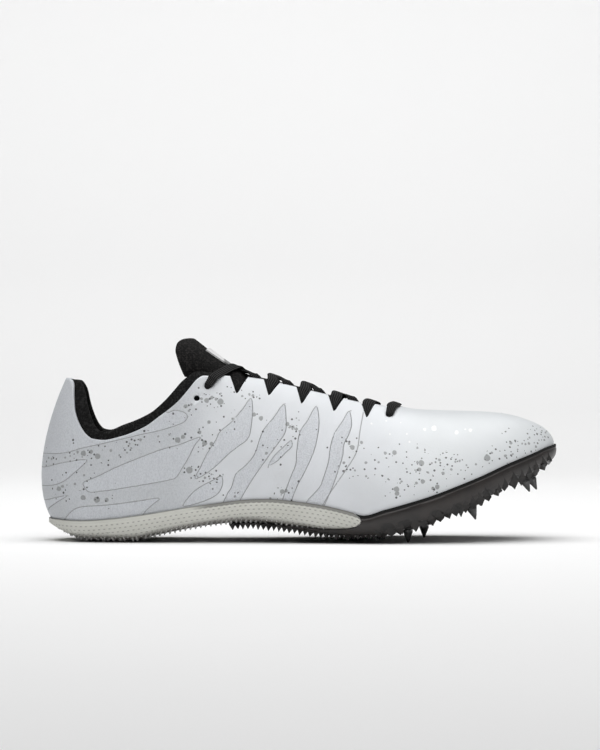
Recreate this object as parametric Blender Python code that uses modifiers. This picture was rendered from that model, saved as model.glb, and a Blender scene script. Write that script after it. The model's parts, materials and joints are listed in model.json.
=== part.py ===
"""Track spike shoe for the right foot, standing on its heel and its two rear spikes.

Metres, +Z up, +X towards the toe and +Y towards the inner side of the foot. The origin is the middle of
the heel's flat spot. One form, the last, gives the upper, its lining, tongue, insole and the sole's cup.
"""

import math

import bmesh
import bpy
import numpy as np
from mathutils import Matrix, Vector

# Driving sizes of the last
LENGTH = 0.2800
BALL_WIDTH = 0.0920
INSTEP_HEIGHT = 0.0980
TOE_RISE = 0.0530
REST_X = 0.0280

# Heights above the floor and half widths that the upper is cut to
HEEL_TAB_HEIGHT = 0.0880
COLLAR_DIP_HEIGHT = 0.0555
EYESTAY_HEIGHT = 0.0903
THROAT_HALF = 0.0140
TONGUE_HALF = 0.0210

# Walls, layers and clearances
CLEARANCE = 0.0003
UPPER_WALL = 0.0018
LINING_THICKNESS = 0.0030
LINING_DEPTH = 0.0220
TONGUE_THICKNESS = 0.0038
INSOLE_THICKNESS = 0.0035
RIM_WIDTH = 0.0016
RIM_BAND = 0.0020
RIM_STEP = 0.0005

# Lace, eyelets and label
LACE_WIDTH = 0.0062
LACE_THICKNESS = 0.0015
NOTCH_DEPTH = 0.0118
EYELET_RADIUS = 0.0017
LACE_TURN = 0.0033
LABEL_THICKNESS = 0.0009

# Spikes, their seats and the plate's teeth
SPIKE_LENGTH = 0.0068
SPIKE_RADIUS = 0.0026
SPIKE_TIP_RADIUS = 0.0004
STEM_RADIUS = 0.0017
STEM_LENGTH = 0.0032
BOSS_RADIUS = 0.0042
TOOTH_HEIGHT = 0.0026
TOOTH_RADIUS = 0.0036
TOOTH_SINK = 0.0010
TOOTH_ROWS = 11
TOOTH_START = 66.0
TOOTH_END = 97.0
LACE_STEP = 0.0036
LACE_REACH = 0.0025
TONGUE_CENTRE = 0.0004

# The last's columns, from the middle of the heel round to the tip of the toe, both sides in one row.
# A column is a cubic curve from the foot line to the top line. x is in hundredths of LENGTH, y and the
# sideways handles in hundredths of BALL_WIDTH, z and the upright handles in hundredths of INSTEP_HEIGHT.
FORM_COLUMNS = ("foot_x", "outer", "inner", "out", "rise", "top_x", "top_y", "half", "top_z", "reach", "fall")
FORM = {
    "heel_back":    (2.7, 0.0, 0.0, 15.8, 18.4, 5.0, 0.0, 0.0, 90.8, 13.0, 25.5),
    "heel_corner":  (3.5, 12.5, 12.5, 13.6, 18.4, 5.7, 0.0, 8.7, 91.3, 12.0, 25.5),
    "heel_turn":    (6.1, 22.3, 22.3, 10.3, 18.9, 7.9, 0.0, 15.8, 92.3, 10.3, 26.5),
    "heel_side":    (10.7, 27.9, 27.7, 7.6, 19.4, 12.0, 0.0, 20.7, 93.9, 8.7, 27.5),
    "collar_back":  (17.1, 30.8, 29.9, 6.5, 20.4, 17.5, 0.0, 22.8, 95.9, 8.7, 26.5),
    "collar_mid":   (25.4, 31.9, 28.3, 6.5, 21.4, 24.6, 0.0, 21.2, 99.0, 9.8, 24.5),
    "collar_front": (33.9, 32.8, 26.1, 6.5, 22.4, 32.5, 0.5, 13.0, 100.0, 15.2, 15.3),
    "instep_back":  (42.1, 34.8, 26.6, 6.0, 23.5, 40.4, 1.1, 0.0, 96.9, 25.5, 1.0),
    "instep":       (50.7, 38.6, 31.0, 5.4, 21.4, 48.6, 2.2, 0.0, 91.8, 27.0, 0.0),
    "waist_front":  (59.3, 42.4, 37.0, 5.4, 19.4, 56.4, 3.3, 0.0, 86.0, 27.5, 0.0),
    "ball_back":    (67.1, 44.6, 43.5, 4.9, 17.3, 64.3, 4.3, 0.0, 78.9, 28.5, 0.0),
    "ball":         (73.9, 42.9, 46.7, 4.9, 16.3, 70.4, 5.1, 0.0, 73.4, 29.5, 0.0),
    "ball_front":   (80.4, 40.5, 47.0, 4.3, 15.3, 75.7, 6.0, 0.0, 71.9, 28.3, 0.0),
    "toe_shoulder": (86.3, 33.5, 44.0, 3.8, 14.3, 80.5, 6.8, 0.0, 71.5, 26.0, 0.0),
    "toe_side":     (91.4, 23.5, 38.5, 3.5, 12.2, 84.5, 7.8, 0.0, 71.1, 24.0, 0.0),
    "toe_corner":   (95.6, 12.0, 30.5, 3.5, 10.7, 87.1, 8.8, 0.0, 70.6, 22.8, 0.5),
    "toe_turn":     (98.3, 0.0, 20.5, 3.6, 10.0, 88.8, 9.4, 0.0, 70.2, 22.8, 2.0),
    "toe_tip":      (99.3, -10.0, 10.0, 3.8, 9.7, 89.3, 10.0, 0.0, 70.0, 23.4, 3.7),
}
STATION = {name: number for number, name in enumerate(FORM)}
LAST_STATION = len(FORM) - 1

# The sole's side profile: x in hundredths of LENGTH, heights in hundredths of TOE_RISE
PROFILE_COLUMNS = ("x", "bottom", "floor", "rim")
PROFILE = (
    (0, 0.0, 16.0, 23.8),
    (8, 0.0, 16.0, 22.1),
    (14, 0.0, 16.0, 24.3),
    (18, 0.0, 16.6, 27.0),
    (22, 4.3, 18.5, 30.2),
    (28, 11.1, 22.3, 35.7),
    (34, 16.2, 25.5, 40.4),
    (40, 18.7, 27.5, 44.2),
    (44, 17.5, 26.8, 44.9),
    (50, 13.2, 23.8, 42.1),
    (55, 9.4, 20.0, 38.1),
    (60, 8.3, 17.4, 31.7),
    (62, 8.5, 17.2, 24.9),
    (66, 9.6, 18.1, 31.1),
    (70, 14.5, 22.5, 37.2),
    (75, 22.1, 29.8, 44.7),
    (80, 32.8, 40.0, 54.5),
    (85, 42.8, 50.2, 65.5),
    (90, 58.1, 64.5, 78.5),
    (95, 69.8, 76.6, 91.3),
    (98, 78.9, 84.9, 97.5),
    (100, 87.0, 92.4, 99.8),
)

# How the sole's outer wall turns under, by station: inset of the bottom's edge, handle out of the wall and
# handle under it in hundredths of BALL_WIDTH, and the wall handle's drop as a share of the wall's height
WALL_COLUMNS = ("inset", "out", "under", "drop")
WALL = {
    "heel_back": (34.0, -1.8, 17.0, 0.22),
    "heel_corner": (26.0, -0.5, 14.0, 0.26),
    "heel_turn": (17.0, 0.6, 9.5, 0.40),
    "heel_side": (10.5, 1.4, 6.0, 0.55),
    "collar_front": (8.5, 1.2, 5.0, 0.55),
    "waist_front": (7.0, 1.0, 3.6, 0.55),
    "ball": (6.0, 1.0, 3.0, 0.60),
    "toe_side": (5.4, 0.8, 2.8, 0.60),
    "toe_tip": (5.0, 0.4, 2.6, 0.60),
}

# The lower edge and the rounded nose of the heel wedge, seen from the side: x in hundredths of LENGTH,
# z in hundredths of TOE_RISE
WEDGE_EDGE = (
    (35.4, 12.0), (37.1, 17.8), (39.8, 19.6), (42.9, 20.6), (47.5, 18.2), (50.7, 16.8), (53.8, 15.1),
    (56.0, 14.5), (59.0, 15.5), (60.7, 17.5), (61.5, 20.8), (61.7, 23.2), (61.4, 26.4), (60.5, 30.6),
    (58.6, 36.5), (55.0, 60.0),
)

# The upper's cut edge above the collar, by the top_x of its column in hundredths of LENGTH. The height is
# given between two of the sizes that it follows.
COLLAR_CUT = (
    (5.0, 1.000, "tab"), (5.8, 0.995, "tab"), (6.6, 0.935, "tab"), (7.3, 0.730, "tab"), (8.1, 0.465, "tab"),
    (9.2, 0.255, "tab"), (10.4, 0.100, "tab"), (11.8, 0.010, "tab"), (13.6, -0.010, "eyestay"),
    (16.2, 0.040, "eyestay"), (20.2, 0.190, "eyestay"), (22.6, 0.345, "eyestay"), (26.2, 0.590, "eyestay"),
    (28.4, 0.790, "eyestay"), (30.0, 0.930, "eyestay"), (31.5, 0.990, "eyestay"), (33.5, 1.000, "eyestay"),
)

# The throat's half width along the ridge, as a share of THROAT_HALF, from the collar to its rounded front
THROAT_CUT = (
    (30.0, 1.40), (32.2, 1.29), (34.2, 1.17), (36.2, 1.06), (39.5, 0.94), (43.0, 0.93), (47.0, 1.01),
    (52.0, 1.07), (58.0, 1.07), (61.5, 1.01), (64.5, 0.86),
)
THROAT_FRONT = 69.2

# The lining's edge, a little above the upper's and set inside it, in the same terms, and how much of its
# thickness it keeps there
LINING_CUT = (
    (5.0, 1.012, "tab", 0.9), (7.1, 0.990, "tab", 0.9), (8.6, 0.865, "tab", 1.0), (9.8, 0.606, "tab", 1.0),
    (11.1, 0.350, "tab", 1.0), (11.9, 0.225, "tab", 1.0), (12.8, 0.148, "tab", 1.0),
    (13.9, 0.120, "eyestay", 1.0), (15.9, 0.190, "eyestay", 1.0), (18.2, 0.270, "eyestay", 1.0),
    (20.9, 0.400, "eyestay", 1.0), (23.5, 0.590, "eyestay", 0.9), (25.8, 0.793, "eyestay", 0.75),
    (27.3, 0.925, "eyestay", 0.65), (30.7, 1.080, "eyestay", 0.45), (33.6, 1.060, "eyestay", 0.35),
)

# The tongue under the throat, by the place of its section along the ridge: half width as a share of
# TONGUE_HALF, and how deep its middle and its edges lie below the last in hundredths of INSTEP_HEIGHT
TONGUE_UNDER = (
    (69.6, 0.60, 4.4, 3.6),
    (65.0, 0.78, 4.3, 3.6),
    (60.0, 0.84, 4.2, 3.6),
    (54.5, 0.86, 4.2, 3.6),
    (49.0, 0.86, 4.2, 3.6),
    (44.0, 0.84, 4.2, 3.6),
    (40.2, 0.80, 4.2, 3.6),
)

# The tongue above the throat: its middle's x in hundredths of LENGTH and z in hundredths of
# INSTEP_HEIGHT, half width as a share of TONGUE_HALF, degrees that each side bends round, how much of its
# thickness is left, degrees that the sides lean back as they fall, and how far they bow back in hundredths
# of TONGUE_HALF
TONGUE_FREE = (
    (37.1, 96.8, 0.60, 84, 1.00, 33, 0),
    (34.6, 101.5, 0.63, 93, 0.90, 33, 0),
    (32.4, 106.0, 0.67, 100, 0.90, 30, 3),
    (31.2, 108.6, 0.72, 104, 0.95, 25, 10),
    (30.2, 110.4, 0.72, 107, 0.90, 19, 21),
    (29.7, 111.5, 0.69, 108, 0.60, 17, 29),
)

# How deep the lace's middle lies below the ridge, by place, in hundredths of INSTEP_HEIGHT
LACE_DEPTH = ((36.5, -1.4), (38.5, 0.3), (40.5, 1.4), (43.0, 2.2), (60.0, 2.4), (64.5, 1.9), (67.5, -1.6))
LACE_FRONT_PLACE = 68.7

# V notches that the lace comes out of: where each starts, is deepest and ends along the throat
NOTCHES = {
    "notch_1": (36.1, 37.0, 39.5),
    "notch_2": (42.4, 43.0, 45.5),
    "notch_3": (48.6, 49.1, 51.3),
    "notch_4": (54.5, 55.0, 57.5),
    "notch_5": (60.9, 61.4, 63.8),
}
SPARE_HOLE = (29.6, 0.0100)
TOP_EYELET = (31.7, 0.0068)
FRONT_EYELET = (66.0, 0.0095)

# Spikes by place: x in hundredths of LENGTH, y as a share of the sole's half width there, and how far the
# pin's shoulder is below the sole in hundredths of LENGTH, or None where its tip stands on the floor
SPIKES = {
    "spike_rear_outer": (70.8, -0.62, None),
    "spike_rear_inner": (74.4, 0.50, None),
    "spike_middle_outer": (82.8, -0.62, 0.5),
    "spike_middle_inner": (83.4, 0.56, 0.9),
    "spike_front_outer": (93.2, -0.50, 0.6),
    "spike_front_inner": (94.6, 0.46, 1.3),
}

COLOURS = {
    "upper": ((0.66, 0.68, 0.71), 0.42, 0.0),
    "lining": ((0.012, 0.012, 0.013), 0.85, 0.0),
    "tongue": ((0.012, 0.012, 0.013), 0.85, 0.0),
    "label": ((0.75, 0.75, 0.74), 0.55, 0.0),
    "insole": ((0.03, 0.03, 0.032), 0.90, 0.0),
    "lace": ((0.010, 0.010, 0.010), 0.80, 0.0),
    "wedge": ((0.62, 0.61, 0.57), 0.60, 0.0),
    "plate": ((0.045, 0.036, 0.032), 0.38, 0.0),
    "spike": ((0.16, 0.15, 0.145), 0.34, 0.9),
}


def clear_scene():
    for obj in list(bpy.data.objects):
        bpy.data.objects.remove(obj, do_unlink=True)


def collection(name):
    made = bpy.data.collections.new(name)
    bpy.context.scene.collection.children.link(made)
    return made


def material(name):
    colour, roughness, metallic = COLOURS[name]
    made = bpy.data.materials.new(name)
    made.use_nodes = True
    shader = made.node_tree.nodes["Principled BSDF"]
    shader.inputs["Base Color"].default_value = (*colour, 1.0)
    shader.inputs["Roughness"].default_value = roughness
    shader.inputs["Metallic"].default_value = metallic
    return made


# Curves through the tables' rows


def smooth_line(xs, ys, x):
    """Monotone cubic through the points, so that a line never swings past its own rows."""
    xs, ys, x = np.asarray(xs, float), np.asarray(ys, float), np.asarray(x, float)
    step = np.diff(xs)
    slope = np.diff(ys) / step
    tangent = np.zeros(len(xs))
    rising = slope[:-1] * slope[1:] > 0
    weight_a, weight_b = 2 * step[1:] + step[:-1], step[1:] + 2 * step[:-1]
    with np.errstate(divide="ignore", invalid="ignore"):
        mean = (weight_a + weight_b) / (weight_a / slope[:-1] + weight_b / slope[1:])
    tangent[1:-1] = np.where(rising, mean, 0.0)
    tangent[0], tangent[-1] = slope[0], slope[-1]
    index = np.clip(np.searchsorted(xs, x) - 1, 0, len(xs) - 2)
    t = np.clip((x - xs[index]) / step[index], 0.0, 1.0)
    h = step[index]
    return (
        (1 + 2 * t) * (1 - t) ** 2 * ys[index]
        + t * (1 - t) ** 2 * h * tangent[index]
        + t * t * (3 - 2 * t) * ys[index + 1]
        + t * t * (t - 1) * h * tangent[index + 1]
    )


def closed_tangents(points):
    """Tangents of the smooth closed curve through the points, one step of the parameter apart."""
    count = len(points)
    matrix = np.eye(count) * 4 + np.roll(np.eye(count), 1, 0) + np.roll(np.eye(count), -1, 0)
    return np.linalg.solve(matrix, 3 * (np.roll(points, -1, 0) - np.roll(points, 1, 0)))


def profile(x, column):
    """Height of one of the sole's lines at a place along the shoe."""
    rows = np.array(PROFILE, float)
    number = PROFILE_COLUMNS.index(column)
    return smooth_line(rows[:, 0] / 100 * LENGTH, rows[:, number] / 100 * TOE_RISE, x)


def wall_share(station, column):
    places = [STATION[name] for name in WALL]
    values = [row[WALL_COLUMNS.index(column)] for row in WALL.values()]
    return smooth_line(places, values, station)


# The last


def control_points(row, side):
    """The four control points of a column on the outer side (-1) or the inner side (1)."""
    cell = dict(zip(FORM_COLUMNS, row))
    along, across, up = LENGTH / 100, BALL_WIDTH / 100, INSTEP_HEIGHT / 100
    foot_y = side * cell["outer" if side < 0 else "inner"] * across
    foot_x = cell["foot_x"] * along
    foot = np.array([foot_x, foot_y, float(profile(foot_x, "floor")) + CLEARANCE])
    top_y = (cell["top_y"] + side * cell["half"]) * across
    top = np.array([cell["top_x"] * along, top_y, cell["top_z"] * up])
    outward = foot[:2] - top[:2]
    outward = np.append(outward / np.linalg.norm(outward), 0.0)
    lift = np.array([0.0, 0.0, up])
    low_handle = foot + outward * cell["out"] * across + lift * cell["rise"]
    high_handle = top + outward * cell["reach"] * across - lift * cell["fall"]
    return np.concatenate([foot, low_handle, high_handle, top])


class Last:
    """The form as a surface: a station counts along one side from 0 at the heel to LAST_STATION at the toe,
    and a share runs from 0 on the foot line to 1 on the top line."""

    def __init__(self):
        outer = [control_points(row, -1) for row in FORM.values()]
        inner = [control_points(row, 1) for row in FORM.values()]
        self.rows = np.array(outer + inner[-2:0:-1])
        self.tangents = closed_tangents(self.rows)

    def controls(self, side, station):
        """Control points, as (n, 4, 3), of the columns at these stations."""
        station = np.atleast_1d(np.asarray(station, float))
        around = station if side < 0 else (2 * LAST_STATION - station) % len(self.rows)
        index = np.floor(around).astype(int) % len(self.rows)
        following = (index + 1) % len(self.rows)
        t = (around - np.floor(around))[:, None]
        made = (
            (1 + 2 * t) * (1 - t) ** 2 * self.rows[index]
            + t * (1 - t) ** 2 * self.tangents[index]
            + t * t * (3 - 2 * t) * self.rows[following]
            + t * t * (t - 1) * self.tangents[following]
        )
        return made.reshape(-1, 4, 3)

    def point(self, side, station, share):
        """Points on the surface, as (n, 3)."""
        a, b, c, d = np.moveaxis(self.controls(side, station), 1, 0)
        v = np.broadcast_to(np.atleast_1d(np.asarray(share, float)), len(a))[:, None]
        return (1 - v) ** 3 * a + 3 * v * (1 - v) ** 2 * b + 3 * v * v * (1 - v) * c + v**3 * d

    def normal(self, side, station, share):
        """Unit normals that point out of the shoe."""
        step = 1e-3
        station = np.atleast_1d(np.asarray(station, float))
        share = np.broadcast_to(np.atleast_1d(np.asarray(share, float)), len(station))
        along = self.point(side, station + step, share) - self.point(side, station - step, share)
        up = self.point(side, station, share + step) - self.point(side, station, share - step)
        found = np.cross(up, along) * (1 if side < 0 else -1)
        return -found / np.linalg.norm(found, axis=1)[:, None]

    def share_where(self, side, station, past):
        """Largest share at which past(points) is still False, found by halving, for each station."""
        station = np.atleast_1d(np.asarray(station, float))
        low, high = np.zeros(len(station)), np.ones(len(station))
        for _ in range(30):
            middle = (low + high) / 2
            beyond = past(self.point(side, station, middle))
            low, high = np.where(beyond, low, middle), np.where(beyond, middle, high)
        return low

    def station_at(self, top_x):
        """Station whose column ends at this place along the top line."""
        wanted = np.atleast_1d(np.asarray(top_x, float))
        low, high = np.zeros(len(wanted)), np.full(len(wanted), float(LAST_STATION))
        for _ in range(30):
            middle = (low + high) / 2
            beyond = self.controls(-1, middle)[:, 3, 0] > wanted
            low, high = np.where(beyond, low, middle), np.where(beyond, middle, high)
        return (low + high) / 2


last = Last()


def top_place(station):
    """Where a column ends along the top line, in hundredths of LENGTH."""
    return last.controls(-1, station)[:, 3, 0] / LENGTH * 100


def cut_height(place):
    """Height of the collar's cut edge for a column that ends at this place."""
    top_of = {"tab": HEEL_TAB_HEIGHT, "eyestay": EYESTAY_HEIGHT}
    places = [row[0] for row in COLLAR_CUT]
    heights = [COLLAR_DIP_HEIGHT + share * (top_of[name] - COLLAR_DIP_HEIGHT) for _, share, name in COLLAR_CUT]
    return smooth_line(places, heights, place)


def throat_half(place):
    """Half width of the throat, with its rounded front end."""
    places, shares = zip(*THROAT_CUT)
    half = smooth_line(places, shares, place) * THROAT_HALF
    front = np.clip((place - places[-1]) / (THROAT_FRONT - places[-1]), 0.0, 1.0)
    return half * np.sqrt(1 - front * front)


def notch_share(place):
    """How far into a notch a place along the throat is, from 0 on its edge to 1 at its tip."""
    depth = np.zeros(len(place))
    for start, tip, end in NOTCHES.values():
        into = np.minimum((place - start) / (tip - start), (end - place) / (end - tip))
        depth = np.maximum(depth, np.clip(into, 0.0, 1.0))
    return depth


def cut_share(side, station, notched=True):
    """Share at which each column is cut off by the collar, the throat or neither."""
    station = np.atleast_1d(np.asarray(station, float))
    place = top_place(station)
    height = cut_height(place)
    by_height = last.share_where(side, station, lambda p: p[:, 2] > height)
    by_height = np.where(place > COLLAR_CUT[-1][0], 1.0, by_height)
    centre = (last.controls(-1, station)[:, 3, 1] + last.controls(1, station)[:, 3, 1]) / 2
    half = throat_half(place)
    by_half = last.share_where(side, station, lambda p: np.abs(p[:, 1] - centre) < half)
    by_half = np.where(place < THROAT_CUT[0][0], 1.0, by_half)
    by_half = np.where(place >= THROAT_FRONT, 1.0, by_half)
    cut = np.minimum(by_height, by_half)
    if notched:
        length = np.linalg.norm(np.diff(last.controls(side, station), axis=1), axis=2).sum(axis=1)
        cut = cut - notch_share(place) * NOTCH_DEPTH / length
    return cut


# Meshes and modifiers


def add_mesh(name, points, faces, look, home, weld=0.00002):
    """A mesh object with matching points made one and its faces turned out."""
    mesh = bpy.data.meshes.new(name)
    mesh.from_pydata([(x - REST_X, y, z) for x, y, z in points], [], faces)
    work = bmesh.new()
    work.from_mesh(mesh)
    bmesh.ops.remove_doubles(work, verts=work.verts, dist=weld)
    bmesh.ops.dissolve_degenerate(work, edges=work.edges, dist=weld)
    bmesh.ops.recalc_face_normals(work, faces=work.faces)
    work.to_mesh(mesh)
    work.free()
    obj = bpy.data.objects.new(name, mesh)
    home.objects.link(obj)
    if look is not None:
        mesh.materials.append(look)
        mesh.shade_smooth()
        mesh.set_sharp_from_angle(angle=math.radians(40))
    return obj


def grid_faces(rows, columns, wrap=False):
    """Quads over a grid of points numbered row by row. wrap joins the last column to the first."""
    faces = []
    for row in range(rows - 1):
        for column in range(columns if wrap else columns - 1):
            beside = (column + 1) % columns
            a, b = row * columns + column, row * columns + beside
            faces.append((a, b, b + columns, a + columns))
    return faces


def loft(name, loops, look, home, caps=True):
    """A solid through closed loops with the same number of points."""
    loops = np.asarray(loops)
    rows, columns = loops.shape[:2]
    faces = grid_faces(rows, columns, wrap=True)
    if caps:
        faces.append(tuple(range(columns)))
        faces.append(tuple(reversed(range((rows - 1) * columns, rows * columns))))
    return add_mesh(name, loops.reshape(-1, 3), faces, look, home)


def boolean(obj, other, operation):
    modifier = obj.modifiers.new(f"{operation.lower()}_{other.name}", "BOOLEAN")
    modifier.operation = operation
    modifier.solver = "EXACT"
    modifier.object = other


def side_prism(name, outline, home):
    """A cutter that a side view's outline makes, wide enough for the whole shoe."""
    reach = BALL_WIDTH
    outline = np.asarray(outline)
    near = np.column_stack([outline[:, 0], np.full(len(outline), -reach), outline[:, 1]])
    far = near + np.array([0.0, 2 * reach, 0.0])
    return loft(name, [near, far], None, home)


def hide_cutters(home):
    for obj in home.objects:
        obj.hide_render = True
        obj.display_type = "WIRE"


# The upper


UPPER_ROWS = 7


def upper_stations():
    """Stations of the upper's columns, with one at each corner of the cut edge."""
    throat = []
    for start, tip, end in NOTCHES.values():
        throat += [start, tip, tip + 0.15, end]
    tabs = [(a[2] + b[0]) / 2 for a, b in zip(list(NOTCHES.values()), list(NOTCHES.values())[1:])]
    front = THROAT_CUT[-1][0]
    nose = [front + (THROAT_FRONT - front) * share for share in (0.4, 0.75, 0.94, 1.0)]
    heel = list(np.linspace(0.0, 3.6, 11))
    collar = list(np.linspace(3.8, float(last.station_at(0.356 * LENGTH)[0]), 11))
    vamp_start = float(last.station_at(THROAT_FRONT / 100 * LENGTH)[0])
    vamp = list(np.linspace(vamp_start, LAST_STATION, 13)[1:])
    middle = list(last.station_at(np.array(sorted(throat + tabs + nose)) / 100 * LENGTH))
    return np.array(heel + collar + middle + vamp)


def upper_columns(side, stations, rows):
    """Points up each column to the cut edge, as (stations, rows, 3)."""
    cut = cut_share(side, stations)
    shares = np.linspace(0.0, 1.0, rows)
    grid = [last.point(side, stations, cut * share) for share in shares]
    return np.moveaxis(np.array(grid), 0, 1)


def build_upper(home, cutters):
    stations = upper_stations()
    outer = upper_columns(-1, stations, UPPER_ROWS)
    inner = upper_columns(1, stations, UPPER_ROWS)
    columns = np.concatenate([outer, inner[-2:0:-1]])
    count = len(columns)
    faces = []
    for column in range(count):
        beside = (column + 1) % count
        for row in range(UPPER_ROWS - 1):
            a, b = column * UPPER_ROWS + row, beside * UPPER_ROWS + row
            faces.append((a, b, b + 1, a + 1))
    upper = add_mesh("upper", columns.reshape(-1, 3), faces, material("upper"), home)
    wall = upper.modifiers.new("wall", "SOLIDIFY")
    wall.thickness = UPPER_WALL
    wall.offset = -1.0
    wall.use_even_offset = True
    holes = eyelet_cutter(cutters)
    boolean(upper, holes, "DIFFERENCE")
    return upper


def eyelet_cutter(cutters):
    """Short rods through the wall at the spare holes and the top and front eyelets, joined in one cutter."""
    work = bmesh.new()
    for side in (-1, 1):
        for place, below in (SPARE_HOLE, TOP_EYELET, FRONT_EYELET):
            centre, normal = eyelet(side, place, below)
            turn = Vector(normal).to_track_quat("Z", "Y").to_matrix().to_4x4()
            matrix = Matrix.Translation(Vector(centre) - Vector((REST_X, 0.0, 0.0))) @ turn
            bmesh.ops.create_cone(
                work, cap_ends=True, segments=12, radius1=EYELET_RADIUS, radius2=EYELET_RADIUS,
                depth=6 * UPPER_WALL, matrix=matrix,
            )
    mesh = bpy.data.meshes.new("eyelet_cutter")
    work.to_mesh(mesh)
    work.free()
    obj = bpy.data.objects.new("eyelet_cutter", mesh)
    cutters.objects.link(obj)
    return obj


def eyelet(side, place, below):
    """Centre and normal of a hole that lies this far down the column from the cut edge."""
    station = last.station_at(place / 100 * LENGTH)
    cut = cut_share(side, station, notched=False)
    length = np.linalg.norm(np.diff(last.controls(side, station), axis=1), axis=2).sum()
    share = cut - below / length
    return last.point(side, station, share)[0], last.normal(side, station, share)[0]


# The sole


SOLE_STATIONS = 40
WALL_POINTS = 6


def sole_half_loop(side, station):
    """One side of a section of the sole: from the middle of the cup's floor up its wall, over the rim, and
    down the outside to the middle of the bottom."""
    column = last.controls(side, station)[0]
    foot_x = column[0, 0]
    floor, rim = float(profile(foot_x, "floor")), float(profile(foot_x, "rim"))
    outward = column[1, :2] - column[0, :2]
    outward = np.append(outward / np.linalg.norm(outward), 0.0)
    points = []
    for height in np.linspace(floor, rim, 4):
        share = last.share_where(side, station, lambda p: p[:, 2] > height)
        point = last.point(side, station, share)[0]
        point[2] = height
        points.append(point + outward * CLEARANCE)
    lip = points[-1] + outward * RIM_WIDTH
    band = lip - np.array([0.0, 0.0, RIM_BAND])
    step = band + outward * RIM_STEP - np.array([0.0, 0.0, RIM_STEP])
    points += [lip, band, step]
    across = BALL_WIDTH / 100
    inset, under = wall_share(station, "inset") * across, wall_share(station, "under") * across
    edge = step - outward * inset
    edge[2] = float(profile(edge[0], "bottom"))
    fall = step[2] - edge[2]
    drop = wall_share(station, "drop") * fall
    wall_handle = step + outward * wall_share(station, "out") * across - np.array([0.0, 0.0, drop])
    under_handle = edge + outward * under
    for v in np.linspace(0.0, 1.0, WALL_POINTS)[1:]:
        points.append(
            (1 - v) ** 3 * step + 3 * v * (1 - v) ** 2 * wall_handle
            + 3 * v * v * (1 - v) * under_handle + v**3 * edge
        )
    return np.array(points)


def sole_loops():
    stations = LAST_STATION * np.linspace(0.0, 1.0, SOLE_STATIONS)
    loops = []
    for station in stations:
        outer, inner = sole_half_loop(-1, station), sole_half_loop(1, station)
        loops.append(np.concatenate([outer, inner[::-1]]))
    return loops


def wedge_outline(grow=0.0):
    """Side view of the room that the wedge takes, grown along the edge that it shares with the plate."""
    edge = np.array(WEDGE_EDGE) / 100 * np.array([LENGTH, TOE_RISE])
    along = np.gradient(edge, axis=0)
    away = np.column_stack([along[:, 1], -along[:, 0]]) / np.linalg.norm(along, axis=1)[:, None]
    edge = edge + away * grow
    behind, above, below = -0.2 * LENGTH, 2 * TOE_RISE, -TOE_RISE
    return [(behind, below), (edge[0, 0], below), *edge, (edge[-1, 0], above), (behind, above)]


def build_sole(home, cutters):
    loops = sole_loops()
    wedge_room = side_prism("wedge_room", wedge_outline(), cutters)
    wedge_gap = side_prism("wedge_gap", wedge_outline(CLEARANCE), cutters)
    wedge = loft("heel_wedge", loops, material("wedge"), home)
    boolean(wedge, wedge_room, "INTERSECT")
    plate = loft("spike_plate", loops, material("plate"), home)
    boolean(plate, wedge_gap, "DIFFERENCE")
    boolean(plate, add_tread(cutters), "UNION")
    boolean(plate, add_sockets(cutters), "DIFFERENCE")


def sole_half(x):
    """Outer and inner edge of the sole's bottom at a place along the shoe."""
    stations = np.linspace(0.5, LAST_STATION - 0.5, 60)
    edges = []
    for side in (-1, 1):
        foot = last.controls(side, stations)[:, 0]
        edges.append(float(np.interp(x, foot[:, 0], foot[:, 1])))
    return edges


def bottom_frame(x, y):
    """Turn and place whose z axis points out of the sole's bottom."""
    slope = float(profile(x + 0.002, "bottom") - profile(x - 0.002, "bottom")) / 0.004
    down = Vector((slope, 0.0, -1.0)).normalized()
    turn = down.to_track_quat("Z", "Y").to_matrix().to_4x4()
    return Matrix.Translation((x - REST_X, y, float(profile(x, "bottom")))) @ turn


def spike_frames():
    """Where each pin's shoulder is, with z along the pin towards its tip, and how far that is below the
    sole's bottom."""
    frames = {}
    for name, (place, share, boss) in SPIKES.items():
        x = place / 100 * LENGTH
        outer, inner = sole_half(x)
        y = -share * outer if share < 0 else share * inner
        frame = bottom_frame(x, y)
        if boss is not None:
            drop = boss / 100 * LENGTH
        else:
            drop = float(profile(x, "bottom")) - SPIKE_LENGTH - CLEARANCE
            place_only = Matrix.Translation(frame.translation)
            frame = place_only @ Vector((0.0, 0.0, -1.0)).to_track_quat("Z", "Y").to_matrix().to_4x4()
        frames[name] = (frame @ Matrix.Translation((0.0, 0.0, drop)), drop)
    return frames


def rods(name, home, entries):
    """One mesh of turned rods: frame, first and last height along z, radius at each end, and segments."""
    work = bmesh.new()
    for frame, low, high, low_radius, high_radius, segments in entries:
        matrix = frame @ Matrix.Translation((0.0, 0.0, (low + high) / 2))
        bmesh.ops.create_cone(
            work, cap_ends=True, segments=segments, radius1=low_radius, radius2=high_radius,
            depth=high - low, matrix=matrix,
        )
    mesh = bpy.data.meshes.new(name)
    work.to_mesh(mesh)
    work.free()
    obj = bpy.data.objects.new(name, mesh)
    home.objects.link(obj)
    return obj


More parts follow.
